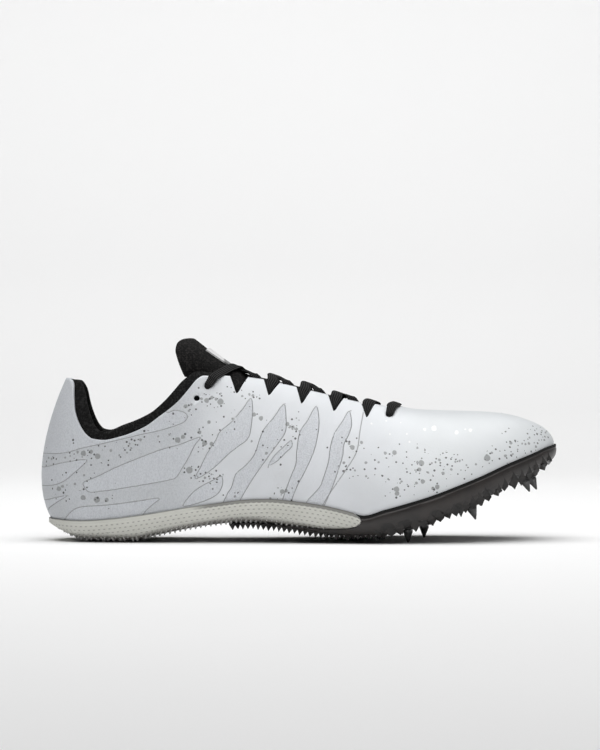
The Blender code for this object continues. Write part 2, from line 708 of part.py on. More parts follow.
def add_tread(home):
    """The plate's teeth and the bosses that the pins sit in."""
    frames = spike_frames()
    seats = [frame.translation for frame, _ in frames.values()]
    entries = []
    for frame, drop in frames.values():
        entries.append((frame, -drop - 0.0015, 0.0, BOSS_RADIUS + 0.0006, BOSS_RADIUS, 12))
    for row in range(TOOTH_ROWS):
        x = (TOOTH_START + (TOOTH_END - TOOTH_START) * row / (TOOTH_ROWS - 1)) / 100 * LENGTH
        outer, inner = sole_half(x)
        outer, inner = outer * 0.86, inner * 0.86
        count = 5 if row % 2 else 4
        if inner - outer < 0.055:
            count -= 1
        if inner - outer < 0.040:
            count -= 1
        for number in range(count):
            frame = bottom_frame(x, outer + (inner - outer) * number / (count - 1))
            if min((frame.translation - seat).length for seat in seats) > 2.0 * BOSS_RADIUS:
                entries.append((frame, -TOOTH_SINK, TOOTH_HEIGHT, TOOTH_RADIUS, 0.0006, 5))
    return rods("tread", home, entries)


def add_sockets(home):
    entries = []
    for frame, _ in spike_frames().values():
        entries.append((frame, -STEM_LENGTH - CLEARANCE, 0.001, STEM_RADIUS + CLEARANCE, STEM_RADIUS + CLEARANCE, 10))
    return rods("sockets", home, entries)


def build_spikes(home):
    """Turned pins: a stem in its socket, a narrow shoulder and a tapered point with a small flat tip."""
    look = material("spike")
    levels = (
        (-STEM_LENGTH, STEM_RADIUS), (CLEARANCE, STEM_RADIUS), (CLEARANCE, SPIKE_RADIUS),
        (CLEARANCE + 0.0012, SPIKE_RADIUS), (CLEARANCE + SPIKE_LENGTH, SPIKE_TIP_RADIUS),
    )
    angles = np.linspace(0.0, 2 * math.pi, 11)[:-1]
    for name, (frame, _) in spike_frames().items():
        loops = []
        for height, radius in levels:
            ring = [frame @ Vector((radius * math.cos(a), radius * math.sin(a), height)) for a in angles]
            loops.append([(p.x + REST_X, p.y, p.z) for p in ring])
        loft(name, loops, look, home)


# Soft pieces inside and over the upper


def grid_normals(grid):
    """Unit normals out of the shoe, for rows that run back or up and points that run to the inner side."""
    rows, columns = np.gradient(grid, axis=0), np.gradient(grid, axis=1)
    found = np.cross(columns, rows)
    return found / np.linalg.norm(found, axis=2)[:, :, None]


def slab(name, grid, thickness, look, home):
    """A closed piece with this outer face and its thickness inside it."""
    grid = np.asarray(grid)
    depth = np.broadcast_to(np.asarray(thickness, float), grid.shape[:2])[:, :, None]
    under = grid - grid_normals(grid) * depth
    loops = np.concatenate([grid, under[:, ::-1]], axis=1)
    return loft(name, loops, look, home)


def lining_height(place):
    top_of = {"tab": HEEL_TAB_HEIGHT, "eyestay": EYESTAY_HEIGHT}
    places = [row[0] for row in LINING_CUT]
    heights = [COLLAR_DIP_HEIGHT + row[1] * (top_of[row[2]] - COLLAR_DIP_HEIGHT) for row in LINING_CUT]
    return smooth_line(places, heights, place)


def build_lining(home):
    """Padded cuff that runs round inside the collar and stands a little above it."""
    front = float(last.station_at(LINING_CUT[-1][0] / 100 * LENGTH)[0])
    stations = np.array([station for station in upper_stations() if station < front])
    place = top_place(stations)
    height = lining_height(place)
    keep = np.interp(place, [row[0] for row in LINING_CUT], [row[3] for row in LINING_CUT])
    edge_keep = np.array([0.55, 0.9, 1.0, 1.0, 0.95, 0.5])
    sheets = []
    for side in (-1, 1):
        top = last.share_where(side, stations, lambda p: p[:, 2] > height)
        length = np.linalg.norm(np.diff(last.controls(side, stations), axis=1), axis=2).sum(axis=1)
        rows = []
        for share in (0.0, 0.25, 0.55, 0.80, 0.94, 1.0):
            v = top - (1 - share) * LINING_DEPTH / length
            rows.append(last.point(side, stations, v) - last.normal(side, stations, v) * (UPPER_WALL + 1.6 * CLEARANCE))
        sheets.append(np.moveaxis(np.array(rows), 0, 1))
    grid = np.concatenate([sheets[0][::-1], sheets[1][1:]])
    keep = np.concatenate([keep[::-1], keep[1:]])
    depth = LINING_THICKNESS * keep[:, None] * edge_keep
    return slab("collar_lining", grid, depth, material("lining"), home)


def crown(station, across):
    """Point and normal on the last at a signed distance from the ridge."""
    side = -1 if across < 0 else 1
    station = np.array([station])
    outer = last.controls(-1, station)[0, 3]
    inner = last.controls(1, station)[0, 3]
    centre, half = (outer + inner) / 2, abs(inner[1] - outer[1]) / 2
    if abs(across) <= half + 1e-6:
        blend = (across / half + 1) / 2 if half > 1e-6 else 0.5
        normal = last.normal(-1, station, 0.999)[0] + last.normal(1, station, 0.999)[0]
        return outer + (inner - outer) * blend, normal / np.linalg.norm(normal)
    share = last.share_where(side, station, lambda p: np.abs(p[:, 1] - centre[1]) < abs(across))
    return last.point(side, station, share)[0], last.normal(side, station, share)[0]


def tongue_grid(columns=13):
    """The tongue's outer face, as rows of points across it from the throat's front up to its free end."""
    grid = []
    spread = np.linspace(-1.0, 1.0, columns)
    for place, share, middle, edge in TONGUE_UNDER:
        station = float(last.station_at(place / 100 * LENGTH)[0])
        row = []
        for w in spread:
            point, normal = crown(station, w * share * TONGUE_HALF)
            depth = (edge + (middle - edge) * (1 - w * w)) / 100 * INSTEP_HEIGHT
            row.append(point - normal * depth)
        grid.append(row)
    for x, z, share, bend, _, lean, bow in TONGUE_FREE:
        centre = np.array([x / 100 * LENGTH, TONGUE_CENTRE, z / 100 * INSTEP_HEIGHT])
        fall = np.array([-math.sin(math.radians(lean)), 0.0, -math.cos(math.radians(lean))])
        back = np.array([fall[2], 0.0, -fall[0]])
        angle = math.radians(bend)
        half = share * TONGUE_HALF
        row = []
        for w in spread:
            side = half * math.sin(angle * w) / math.sin(angle)
            fallen = (1 - math.cos(angle * w)) / (1 - math.cos(angle))
            bowed = bow / 100 * TONGUE_HALF * math.sin(math.pi * fallen**0.6)
            drop = half * math.tan(angle / 2) * fallen
            row.append(centre + np.array([0.0, side, 0.0]) + fall * drop + back * bowed)
        grid.append(row)
    return np.array(grid)


def build_tongue(home):
    grid = tongue_grid()
    spread = np.linspace(-1.0, 1.0, grid.shape[1])
    edge_keep = np.where(np.abs(spread) > 0.95, 0.45, np.where(np.abs(spread) > 0.75, 0.85, 1.0))
    keep = np.concatenate([np.linspace(0.45, 0.62, len(TONGUE_UNDER)), [row[4] for row in TONGUE_FREE]])
    slab("tongue", grid, TONGUE_THICKNESS * keep[:, None] * edge_keep, material("tongue"), home)
    lifted = grid + grid_normals(grid) * (CLEARANCE + LABEL_THICKNESS)
    first = len(TONGUE_UNDER)
    slab("tongue_label", lifted[first:first + 4, 4:-4], LABEL_THICKNESS, material("label"), home)


def build_insole(home):
    """Thin sock liner that lies on the cup's floor inside the upper's wall."""
    stations = np.concatenate([[0.25], np.linspace(0.6, LAST_STATION - 0.6, 19), [LAST_STATION - 0.25]])
    inset = UPPER_WALL + 3 * CLEARANCE
    sides = []
    for side in (-1, 1):
        controls = last.controls(side, stations)
        outward = controls[:, 1, :2] - controls[:, 0, :2]
        outward = outward / np.linalg.norm(outward, axis=1)[:, None]
        sides.append(controls[:, 0, :2] - outward * inset)
    rows = []
    for outer, inner in zip(*sides):
        row = []
        for w in (0.0, 0.08, 0.3, 0.5, 0.7, 0.92, 1.0):
            x, y = outer + (inner - outer) * w
            row.append((x, y, float(profile(x, "floor")) + CLEARANCE))
        rows.append(row)
    edge_keep = np.array([0.55, 0.95, 1.0, 1.0, 1.0, 0.95, 0.55])
    grid = np.array(rows)
    top = grid + np.array([0.0, 0.0, 1.0]) * (INSOLE_THICKNESS * edge_keep)[None, :, None]
    loops = np.concatenate([grid, top[:, ::-1]], axis=1)
    return loft("insole", loops, material("insole"), home)


# The lace


def rounded_path(corners, radius, steps=5):
    """A plan path with each inner corner turned at this radius."""
    made = [corners[0]]
    for before, corner, after in zip(corners, corners[1:], corners[2:]):
        before, corner, after = map(np.asarray, (before, corner, after))
        back, ahead = before - corner, after - corner
        back, ahead = back / np.linalg.norm(back), ahead / np.linalg.norm(ahead)
        half_angle = math.acos(np.clip(np.dot(back, ahead), -1, 1)) / 2
        reach = radius / math.tan(half_angle)
        centre_way = (back + ahead) / np.linalg.norm(back + ahead)
        centre = corner + centre_way * radius / math.sin(half_angle)
        start, end = corner + back * reach - centre, corner + ahead * reach - centre
        turn = math.atan2(start[0] * end[1] - start[1] * end[0], np.dot(start, end))
        for t in np.linspace(0.0, 1.0, steps):
            c, s = math.cos(turn * t), math.sin(turn * t)
            made.append(centre + np.array([c * start[0] - s * start[1], s * start[0] + c * start[1]]))
    made.append(corners[-1])
    return np.array(made)


def lace_points(corners):
    """Evenly spaced middle line of one lace in plan, (x along the ridge, y from it)."""
    path = rounded_path(corners, LACE_TURN)
    gaps = np.linalg.norm(np.diff(path, axis=0), axis=1)
    along = np.concatenate([[0.0], np.cumsum(gaps)])
    wanted = np.linspace(0.0, along[-1], int(along[-1] / LACE_STEP) + 1)
    return np.column_stack([np.interp(wanted, along, path[:, 0]), np.interp(wanted, along, path[:, 1])])


def lace_loops(corners):
    plan = lace_points(corners)
    places = plan[:, 0] / LENGTH * 100
    centres, normals = [], []
    for (x, y), place in zip(plan, places):
        station = float(last.station_at(x)[0])
        point, normal = crown(station, y)
        half = max(float(throat_half(np.array([place]))[0]), CLEARANCE)
        near_edge = np.clip((abs(y) / half - 0.25) / 0.6, 0.0, 1.0)
        near_edge = near_edge * near_edge * (3 - 2 * near_edge)
        depth = float(np.interp(place, *zip(*LACE_DEPTH))) / 100 * INSTEP_HEIGHT
        lift = (CLEARANCE + LACE_THICKNESS) * near_edge - depth * (1 - near_edge)
        centres.append(point + normal * lift)
        normals.append(normal)
    centres, normals = np.array(centres), np.array(normals)
    along = np.gradient(centres, axis=0)
    across = np.cross(normals, along)
    across /= np.linalg.norm(across, axis=1)[:, None]
    outward = np.cross(along, across)
    outward /= np.linalg.norm(outward, axis=1)[:, None]
    loops = []
    for centre, side, up in zip(centres, across, outward):
        w, t = side * LACE_WIDTH / 2, up * LACE_THICKNESS / 2
        loops.append([centre - w, centre - w * 0.75 - t, centre + w * 0.75 - t, centre + w,
                      centre + w * 0.75 + t, centre - w * 0.75 + t])
    return loops


def build_lace(home, cutters):
    """Two runs from the top eyelets that cross between the second and later notches, joined where they cross
    and at the front bar."""
    turns = []
    for _, tip, end in list(NOTCHES.values())[1:]:
        place = tip + (end - tip) * 0.25
        half = float(throat_half(np.array([place]))[0])
        turns.append((place / 100 * LENGTH, half + LACE_REACH))
    ends = []
    for place, below in (TOP_EYELET, FRONT_EYELET):
        centre = eyelet(-1, place, below)[0]
        ends.append((centre[0], -centre[1]))
    knots = [ends[0], *turns, ends[1]]
    runs = []
    for first in (-1, 1):
        run = [(x, first * (-1) ** number * y) for number, (x, y) in enumerate(knots)]
        runs.append(run)
    last_x, last_y = runs[0][-1]
    runs[0] += [(LACE_FRONT_PLACE / 100 * LENGTH, 0.0), (last_x, -last_y)]
    lace = loft("lace", lace_loops(runs[0]), material("lace"), home)
    other = loft("lace_run", lace_loops(runs[1]), None, cutters)
    boolean(lace, other, "UNION")


def main():
    clear_scene()
    shoe = collection("track_spike_shoe")
    cutters = collection("cutters")
    build_upper(shoe, cutters)
    build_sole(shoe, cutters)
    build_spikes(shoe)
    build_insole(shoe)
    build_lining(shoe)
    build_tongue(shoe)
    build_lace(shoe, cutters)
    hide_cutters(cutters)


main()
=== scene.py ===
"""The looks of the track spike shoe: a right shoe that stands on its heel and rear pins.

The model's frame: metres, +X to the toe, +Y to the inner side of the foot, +Z up, origin under the heel.
Sizes on the shoe are given in millimetres from the back of the heel and from the floor, as a side view
shows them, and turned into the frame by HEEL_X.
"""

import json
import math

import bmesh
import bpy
import numpy as np
from mathutils import Matrix, Vector

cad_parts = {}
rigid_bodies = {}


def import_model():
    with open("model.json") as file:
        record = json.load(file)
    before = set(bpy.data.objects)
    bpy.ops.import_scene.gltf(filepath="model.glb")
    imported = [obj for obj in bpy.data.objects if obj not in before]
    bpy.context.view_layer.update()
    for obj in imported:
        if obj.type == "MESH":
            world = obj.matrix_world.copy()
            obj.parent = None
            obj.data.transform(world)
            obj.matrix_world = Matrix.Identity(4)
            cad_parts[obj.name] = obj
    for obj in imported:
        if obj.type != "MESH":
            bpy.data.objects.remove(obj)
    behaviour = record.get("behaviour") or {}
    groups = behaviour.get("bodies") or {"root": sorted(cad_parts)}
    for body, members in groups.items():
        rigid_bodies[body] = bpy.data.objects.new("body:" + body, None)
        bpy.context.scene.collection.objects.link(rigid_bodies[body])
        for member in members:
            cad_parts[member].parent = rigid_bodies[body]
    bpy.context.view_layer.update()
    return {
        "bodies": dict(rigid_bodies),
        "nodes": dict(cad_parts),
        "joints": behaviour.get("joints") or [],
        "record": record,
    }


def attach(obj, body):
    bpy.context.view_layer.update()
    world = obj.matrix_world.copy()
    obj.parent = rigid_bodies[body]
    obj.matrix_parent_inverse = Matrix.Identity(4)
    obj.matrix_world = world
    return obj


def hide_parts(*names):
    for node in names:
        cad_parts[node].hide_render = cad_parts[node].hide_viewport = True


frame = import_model()

MM = 0.001
HEEL_X = 0.0280

# Driving sizes, the same as the solids have
LENGTH = 0.2800
BALL_WIDTH = 0.0920
INSTEP_HEIGHT = 0.0980
TOE_RISE = 0.0530
HEEL_TAB_HEIGHT = 0.0880
COLLAR_DIP_HEIGHT = 0.0555
EYESTAY_HEIGHT = 0.0903
THROAT_HALF = 0.0140
TONGUE_HALF = 0.0210
CLEARANCE = 0.0003
UPPER_WALL = 0.0018
LINING_THICKNESS = 0.0030
LINING_DEPTH = 0.0220
TONGUE_THICKNESS = 0.0038
INSOLE_THICKNESS = 0.0035
RIM_WIDTH = 0.0008
RIM_BAND = 0.0020
RIM_STEP = 0.00015
NOTCH_DEPTH = 0.0126
EYELET_RADIUS = 0.0017
LABEL_THICKNESS = 0.0009
SPIKE_LENGTH = 0.0068
BOSS_RADIUS = 0.0042
BOSS_FLARE = 0.0006
BOSS_ROOT = 0.0015
TOOTH_HEIGHT = 0.0026
TOOTH_RADIUS = 0.0036
TOOTH_SINK = 0.0010
TOOTH_ROWS = 11
TOOTH_START = 66
TOOTH_END = 97
TONGUE_CENTRE = 0.0004
LACE_THICKNESS = 0.0012

# The last's columns round one side, heel to toe, as in the solids: shares of LENGTH, BALL_WIDTH and
# INSTEP_HEIGHT in hundredths
FORM_COLUMNS = ("foot_x", "outer", "inner", "out", "rise", "top_x", "top_y", "half", "top_z", "reach", "fall")
FORM = {
    "heel_back":    (2.7, 0.0, 0.0, 15.8, 18.4, 5.0, 0.0, 0.0, 90.8, 13.0, 25.5),
    "heel_corner":  (3.5, 12.5, 12.5, 13.6, 18.4, 5.7, 0.0, 8.7, 91.3, 12.0, 25.5),
    "heel_turn":    (6.1, 22.3, 22.3, 10.3, 18.9, 7.9, 0.0, 15.8, 92.3, 10.3, 26.5),
    "heel_side":    (10.7, 27.9, 27.7, 7.6, 19.4, 12.0, 0.0, 20.7, 93.9, 8.7, 27.5),
    "collar_back":  (17.1, 30.8, 29.9, 6.5, 20.4, 17.5, 0.0, 22.8, 95.9, 8.7, 26.5),
    "collar_mid":   (25.4, 31.9, 28.3, 6.5, 21.4, 24.6, 0.0, 21.2, 99.0, 9.8, 24.5),
    "collar_front": (33.9, 32.8, 26.1, 6.5, 22.4, 32.5, 0.5, 13.0, 100.0, 15.2, 15.3),
    "instep_back":  (42.1, 34.8, 26.6, 6.0, 23.5, 40.4, 1.1, 0.0, 96.9, 25.5, 1.0),
    "instep":       (50.7, 38.6, 31.0, 5.4, 21.4, 48.6, 2.2, 0.0, 91.8, 27.0, 0.0),
    "waist_front":  (59.3, 42.4, 37.0, 5.4, 19.4, 56.4, 3.3, 0.0, 86.0, 27.5, 0.0),
    "ball_back":    (67.1, 44.6, 43.5, 4.9, 17.3, 64.3, 4.3, 0.0, 78.9, 28.5, 0.0),
    "ball":         (73.9, 42.9, 46.7, 4.9, 16.3, 70.4, 5.1, 0.0, 73.4, 29.5, 0.0),
    "ball_front":   (80.4, 40.5, 47.0, 4.3, 15.3, 75.7, 6.0, 0.0, 71.9, 28.3, 0.0),
    "toe_shoulder": (86.3, 33.5, 44.0, 3.8, 14.3, 80.5, 6.8, 0.0, 71.5, 26.0, 0.0),
    "toe_side":     (91.4, 23.5, 38.5, 3.5, 12.2, 84.5, 7.8, 0.0, 71.1, 24.0, 0.0),
    "toe_corner":   (95.6, 12.0, 30.5, 3.5, 10.7, 87.1, 8.8, 0.0, 70.6, 22.8, 0.5),
    "toe_turn":     (98.3, 0.0, 20.5, 3.6, 10.0, 88.8, 9.4, 0.0, 70.2, 22.8, 2.0),
    "toe_tip":      (99.3, -10.0, 10.0, 3.8, 9.7, 89.3, 10.0, 0.0, 70.0, 23.4, 3.7),
}
STATION = {name: number for number, name in enumerate(FORM)}
LAST_STATION = len(FORM) - 1

# The sole's side profile: x in hundredths of LENGTH, heights in hundredths of TOE_RISE
PROFILE_COLUMNS = ("x", "bottom", "floor", "rim")
PROFILE = (
    (0, 0.0, 16.0, 23.8),
    (8, 0.0, 16.0, 22.1),
    (14, 0.0, 16.0, 24.3),
    (18, 0.0, 16.6, 27.0),
    (22, 4.3, 18.5, 30.2),
    (28, 11.1, 22.3, 35.7),
    (34, 16.2, 25.5, 40.4),
    (40, 18.7, 27.5, 44.2),
    (44, 17.5, 26.8, 44.9),
    (50, 13.2, 23.8, 42.1),
    (55, 9.4, 20.0, 38.1),
    (60, 8.3, 17.4, 31.7),
    (62, 8.5, 17.2, 28.6),
    (66, 9.6, 18.1, 34.4),
    (70, 14.5, 22.5, 40.2),
    (75, 22.1, 29.8, 48.2),
    (80, 32.8, 40.0, 58.0),
    (85, 42.8, 50.2, 68.4),
    (90, 58.1, 64.5, 79.9),
    (95, 69.8, 76.6, 89.9),
    (98, 78.9, 84.9, 96.0),
    (100, 87.0, 92.4, 98.6),
)

# How the sole's outer wall turns under, by station: inset of the bottom's edge, handle out of the wall and
# handle under it in hundredths of BALL_WIDTH, and the wall handle's drop as a share of the wall's height
WALL_COLUMNS = ("inset", "out", "under", "drop")
WALL = {
    "heel_back": (34.0, -1.8, 17.0, 0.22),
    "heel_corner": (26.0, -0.5, 14.0, 0.26),
    "heel_turn": (17.0, 0.6, 9.5, 0.40),
    "heel_side": (10.5, 1.4, 6.0, 0.55),
    "collar_front": (8.5, 1.2, 5.0, 0.55),
    "waist_front": (7.0, 1.0, 3.6, 0.55),
    "ball": (6.0, 1.0, 3.0, 0.60),
    "toe_side": (5.4, 0.8, 2.8, 0.60),
    "toe_tip": (5.0, 0.4, 2.6, 0.60),
}

# The lower edge and the rounded nose of the heel wedge, seen from the side: x in hundredths of LENGTH,
# z in hundredths of TOE_RISE
WEDGE_EDGE = (
    (35.4, 12.0), (37.1, 17.8), (39.8, 19.6), (42.9, 20.6), (47.5, 18.2), (50.7, 16.8), (53.8, 15.1),
    (56.0, 14.5), (59.0, 15.5), (60.7, 17.5), (61.5, 20.8), (61.7, 23.2), (61.4, 26.4), (60.5, 30.6),
    (58.6, 36.5), (55.0, 60.0),
)

# The upper's cut edge above the collar, by the top_x of its column in hundredths of LENGTH. The height is
# given between two of the sizes that it follows.
COLLAR_CUT = (
    (5.0, 1.000, "tab"), (5.8, 0.995, "tab"), (6.6, 0.935, "tab"), (7.3, 0.730, "tab"), (8.1, 0.465, "tab"),
    (9.2, 0.255, "tab"), (10.4, 0.100, "tab"), (11.8, 0.010, "tab"), (13.6, -0.010, "eyestay"),
    (16.2, 0.040, "eyestay"), (20.2, 0.190, "eyestay"), (22.6, 0.345, "eyestay"), (26.2, 0.590, "eyestay"),
    (28.4, 0.790, "eyestay"), (30.0, 0.930, "eyestay"), (31.5, 0.990, "eyestay"), (33.5, 1.000, "eyestay"),
)

# The throat's half width along the ridge, as a share of THROAT_HALF, from the collar to its rounded front
THROAT_CUT = (
    (30.0, 1.40), (32.2, 1.29), (34.2, 1.17), (36.2, 1.06), (39.5, 0.94), (43.0, 0.93), (47.0, 1.01),
    (52.0, 1.07), (58.0, 1.07), (61.5, 1.01), (64.5, 0.86),
)
THROAT_FRONT = 69.2

# The lining's edge, a little above the upper's and set inside it, in the same terms, and how much of its
# thickness it keeps there
LINING_CUT = (
    (5.0, 1.012, "tab", 0.9), (7.1, 0.990, "tab", 0.9), (8.6, 0.865, "tab", 1.0), (9.8, 0.606, "tab", 1.0),
    (11.1, 0.350, "tab", 1.0), (11.9, 0.225, "tab", 1.0), (12.8, 0.148, "tab", 1.0),
    (13.9, 0.120, "eyestay", 1.0), (15.9, 0.190, "eyestay", 1.0), (18.2, 0.270, "eyestay", 1.0),
    (20.9, 0.400, "eyestay", 1.0), (23.5, 0.590, "eyestay", 0.9), (25.8, 0.793, "eyestay", 0.75),
    (27.3, 0.925, "eyestay", 0.65), (30.7, 1.080, "eyestay", 0.45), (33.6, 1.060, "eyestay", 0.35),
)

# The tongue under the throat, by the place of its section along the ridge: half width as a share of
# TONGUE_HALF, and how deep its middle and its edges lie below the last in hundredths of INSTEP_HEIGHT
TONGUE_UNDER = (
    (69.6, 0.60, 4.6, 3.8),
    (65.0, 0.78, 5.2, 4.0),
    (60.0, 0.84, 5.8, 4.2),
    (54.5, 0.86, 6.0, 4.2),
    (49.0, 0.88, 5.8, 4.2),
    (44.0, 0.92, 5.6, 4.4),
    (40.2, 0.98, 5.2, 4.6),
)

# The tongue above the throat: its middle's x in hundredths of LENGTH and z in hundredths of
# INSTEP_HEIGHT, half width as a share of TONGUE_HALF, degrees that each side bends round, how much of its
# thickness is left, degrees that the sides lean back as they fall, and how far they bow back in hundredths
# of TONGUE_HALF
TONGUE_FREE = (
    (37.1, 95.8, 0.60, 84, 1.00, 33, 0),
    (34.6, 100.7, 0.63, 93, 0.90, 33, 2),
    (32.4, 105.4, 0.67, 100, 0.90, 30, 9),
    (31.2, 108.2, 0.72, 104, 0.95, 25, 20),
    (30.2, 110.4, 0.72, 107, 0.90, 19, 33),
    (29.7, 111.5, 0.69, 108, 0.60, 17, 41),
)


# V notches that the lace comes out of: where each starts, is deepest and ends along the throat
NOTCHES = {
    "notch_1": (36.1, 37.0, 39.5),
    "notch_2": (42.4, 43.0, 45.5),
    "notch_3": (48.6, 49.1, 51.3),
    "notch_4": (54.5, 55.0, 57.5),
    "notch_5": (60.9, 61.4, 63.8),
}
# Its sides are straight up to this share of its depth, and then round off this much
NOTCH_STRAIGHT = 0.72
NOTCH_ROUND = 0.35

# Holes: place along the throat's edge, and how far below the edge the centre is
SPARE_HOLE = (29.6, 0.0100)
TOP_EYELET = (31.7, 0.0068)
FRONT_EYELET = (66.0, 0.0095)

# Spikes by place: x in hundredths of LENGTH, y as a share of the sole's half width there, and how far the
# pin's shoulder is below the sole in hundredths of LENGTH, or None where its tip stands on the floor
SPIKES = {
    "spike_rear_outer": (70.8, -0.62, None),
    "spike_rear_inner": (74.4, 0.50, None),
    "spike_middle_outer": (82.8, -0.62, 0.5),
    "spike_middle_inner": (83.4, 0.56, 0.9),
    "spike_front_outer": (93.2, -0.50, 0.6),
    "spike_front_inner": (94.6, 0.46, 1.3),
}

# The camera: the photograph is 600 by 750, and a pixel is PIXEL_MM wide at the shoe
PIXEL_MM = 0.5426
PHOTO_HEIGHT = 750
CAMERA_DISTANCE = 2.2
CAMERA_LIFT = math.radians(1.0)
CAMERA_AIM = Vector((140.3 * MM - HEEL_X, 0.0, 89.5 * MM))

# The floor, which runs up behind the shoe as high as the photo's frame needs: its profile as (y, z) and
# half its width
FLOOR_PROFILE = ((-2.4, 0.0), (0.9, 0.0), (1.15, 0.04), (1.35, 0.16), (1.45, 0.40), (1.452, 0.415))
FLOOR_HALF = 2.6

# Square soft lights: where each is, what it points at, its side and its power
SOFTBOXES = {
    "top_softbox": ((0.10, 0.10, 1.60), (0.10, 0.0, 0.0), 1.6, 11.5),
    "front_softbox": ((0.10, -2.20, 1.30), (0.10, 0.0, 0.05), 1.4, 2.2),
    "toe_softbox": ((1.60, -0.60, 1.00), (0.10, 0.0, 0.05), 1.0, 2.2),
    "backdrop_softbox": ((0.10, 0.45, 1.40), (0.10, 1.45, 0.30), 1.6, 14.6),
    "floor_softbox": ((0.10, -0.90, 1.30), (0.10, -0.70, 0.0), 1.2, 10.2),
}
SKY_STRENGTH = 0.10


def photo_camera():
    camera = bpy.data.cameras.new("photo_camera")
    camera.sensor_width = 36.0
    camera.lens = camera.sensor_width * CAMERA_DISTANCE / (PHOTO_HEIGHT * PIXEL_MM * MM)
    holder = bpy.data.objects.new("photo_camera", camera)
    bpy.context.scene.collection.objects.link(holder)
    away = Vector((0.0, -math.cos(CAMERA_LIFT), math.sin(CAMERA_LIFT)))
    holder.location = CAMERA_AIM + away * CAMERA_DISTANCE
    holder.rotation_euler = (-away).to_track_quat("-Z", "Y").to_euler()
    bpy.context.scene.camera = holder


def studio():
    """Pale floor that runs up behind the shoe, a large soft light above and fill from both sides."""
    floor = bpy.data.meshes.new("floor")
    points = [(x, y, z) for y, z in FLOOR_PROFILE for x in (-FLOOR_HALF, FLOOR_HALF)]
    faces = [(2 * n, 2 * n + 1, 2 * n + 3, 2 * n + 2) for n in range(len(FLOOR_PROFILE) - 1)]
    floor.from_pydata(points, [], faces)
    floor.shade_smooth()
    obj = bpy.data.objects.new("floor", floor)
    bpy.context.scene.collection.objects.link(obj)
    floor.materials.append(floor_look())
    for name, (place, aim, size, power) in SOFTBOXES.items():
        light = bpy.data.lights.new(name, "AREA")
        light.shape = "SQUARE"
        light.size = size
        light.energy = power
        holder = bpy.data.objects.new(name, light)
        holder.location = place
        holder.rotation_euler = (Vector(aim) - Vector(place)).to_track_quat("-Z", "Y").to_euler()
        bpy.context.scene.collection.objects.link(holder)
    world = bpy.data.worlds.new("studio")
    bpy.context.scene.world = world
    world.use_nodes = True
    world.node_tree.nodes["Background"].inputs["Color"].default_value = (1.0, 1.0, 1.0, 1.0)
    world.node_tree.nodes["Background"].inputs["Strength"].default_value = SKY_STRENGTH


# Curves through the tables' rows


def smooth_line(xs, ys, x):
    """Monotone cubic through the points, so that a line never swings past its own rows."""
    xs, ys, x = np.asarray(xs, float), np.asarray(ys, float), np.asarray(x, float)
    step = np.diff(xs)
    slope = np.diff(ys) / step
    tangent = np.zeros(len(xs))
    rising = slope[:-1] * slope[1:] > 0
    weight_a, weight_b = 2 * step[1:] + step[:-1], step[1:] + 2 * step[:-1]
    with np.errstate(divide="ignore", invalid="ignore"):
        mean = (weight_a + weight_b) / (weight_a / slope[:-1] + weight_b / slope[1:])
    tangent[1:-1] = np.where(rising, mean, 0.0)
    tangent[0], tangent[-1] = slope[0], slope[-1]
    index = np.clip(np.searchsorted(xs, x) - 1, 0, len(xs) - 2)
    t = np.clip((x - xs[index]) / step[index], 0.0, 1.0)
    h = step[index]
    return (
        (1 + 2 * t) * (1 - t) ** 2 * ys[index]
        + t * (1 - t) ** 2 * h * tangent[index]
        + t * t * (3 - 2 * t) * ys[index + 1]
        + t * t * (t - 1) * h * tangent[index + 1]
    )


def bend_through(before, a, b, after, t):
    """The stretch from a to b of a smooth curve through four points."""
    return 0.5 * (
        2 * a + (b - before) * t + (2 * before - 5 * a + 4 * b - after) * t**2
        + (3 * a - before - 3 * b + after) * t**3
    )


def open_curve(points, parts):
    """A smooth curve through points, with as many parts in each stretch as parts(a, b) says."""
    made, count = [], len(points)
    for number in range(count - 1):
        before, a, b, after = (points[min(max(number + k, 0), count - 1)] for k in (-1, 0, 1, 2))
        t = np.linspace(0.0, 1.0, parts(a, b), endpoint=False)[:, None]
        made.append(bend_through(before, a, b, after, t))
    return np.concatenate([*made, points[-1:]])


def closed_curve(points, parts):
    made, count = [], len(points)
    for number in range(count):
        before, a, b, after = (points[(number + k) % count] for k in (-1, 0, 1, 2))
        t = np.linspace(0.0, 1.0, parts(a, b), endpoint=False)[:, None]
        made.append(bend_through(before, a, b, after, t))
    return np.concatenate(made)


def lengths_along(points):
    """How far along a line each of its points is."""
    return np.concatenate([[0.0], np.cumsum(np.linalg.norm(np.diff(points, axis=0), axis=1))])


def closed_tangents(points):
    """Tangents of the smooth closed curve through the points, one step of the parameter apart."""
    count = len(points)
    matrix = np.eye(count) * 4 + np.roll(np.eye(count), 1, 0) + np.roll(np.eye(count), -1, 0)
    return np.linalg.solve(matrix, 3 * (np.roll(points, -1, 0) - np.roll(points, 1, 0)))


def profile(x, column):
    """Height of one of the sole's lines at a place along the shoe."""
    rows = np.array(PROFILE, float)
    number = PROFILE_COLUMNS.index(column)
    return smooth_line(rows[:, 0] / 100 * LENGTH, rows[:, number] / 100 * TOE_RISE, x)


def wall_share(station, column):
    places = [STATION[name] for name in WALL]
    values = [row[WALL_COLUMNS.index(column)] for row in WALL.values()]
    return smooth_line(places, values, station)


# The last


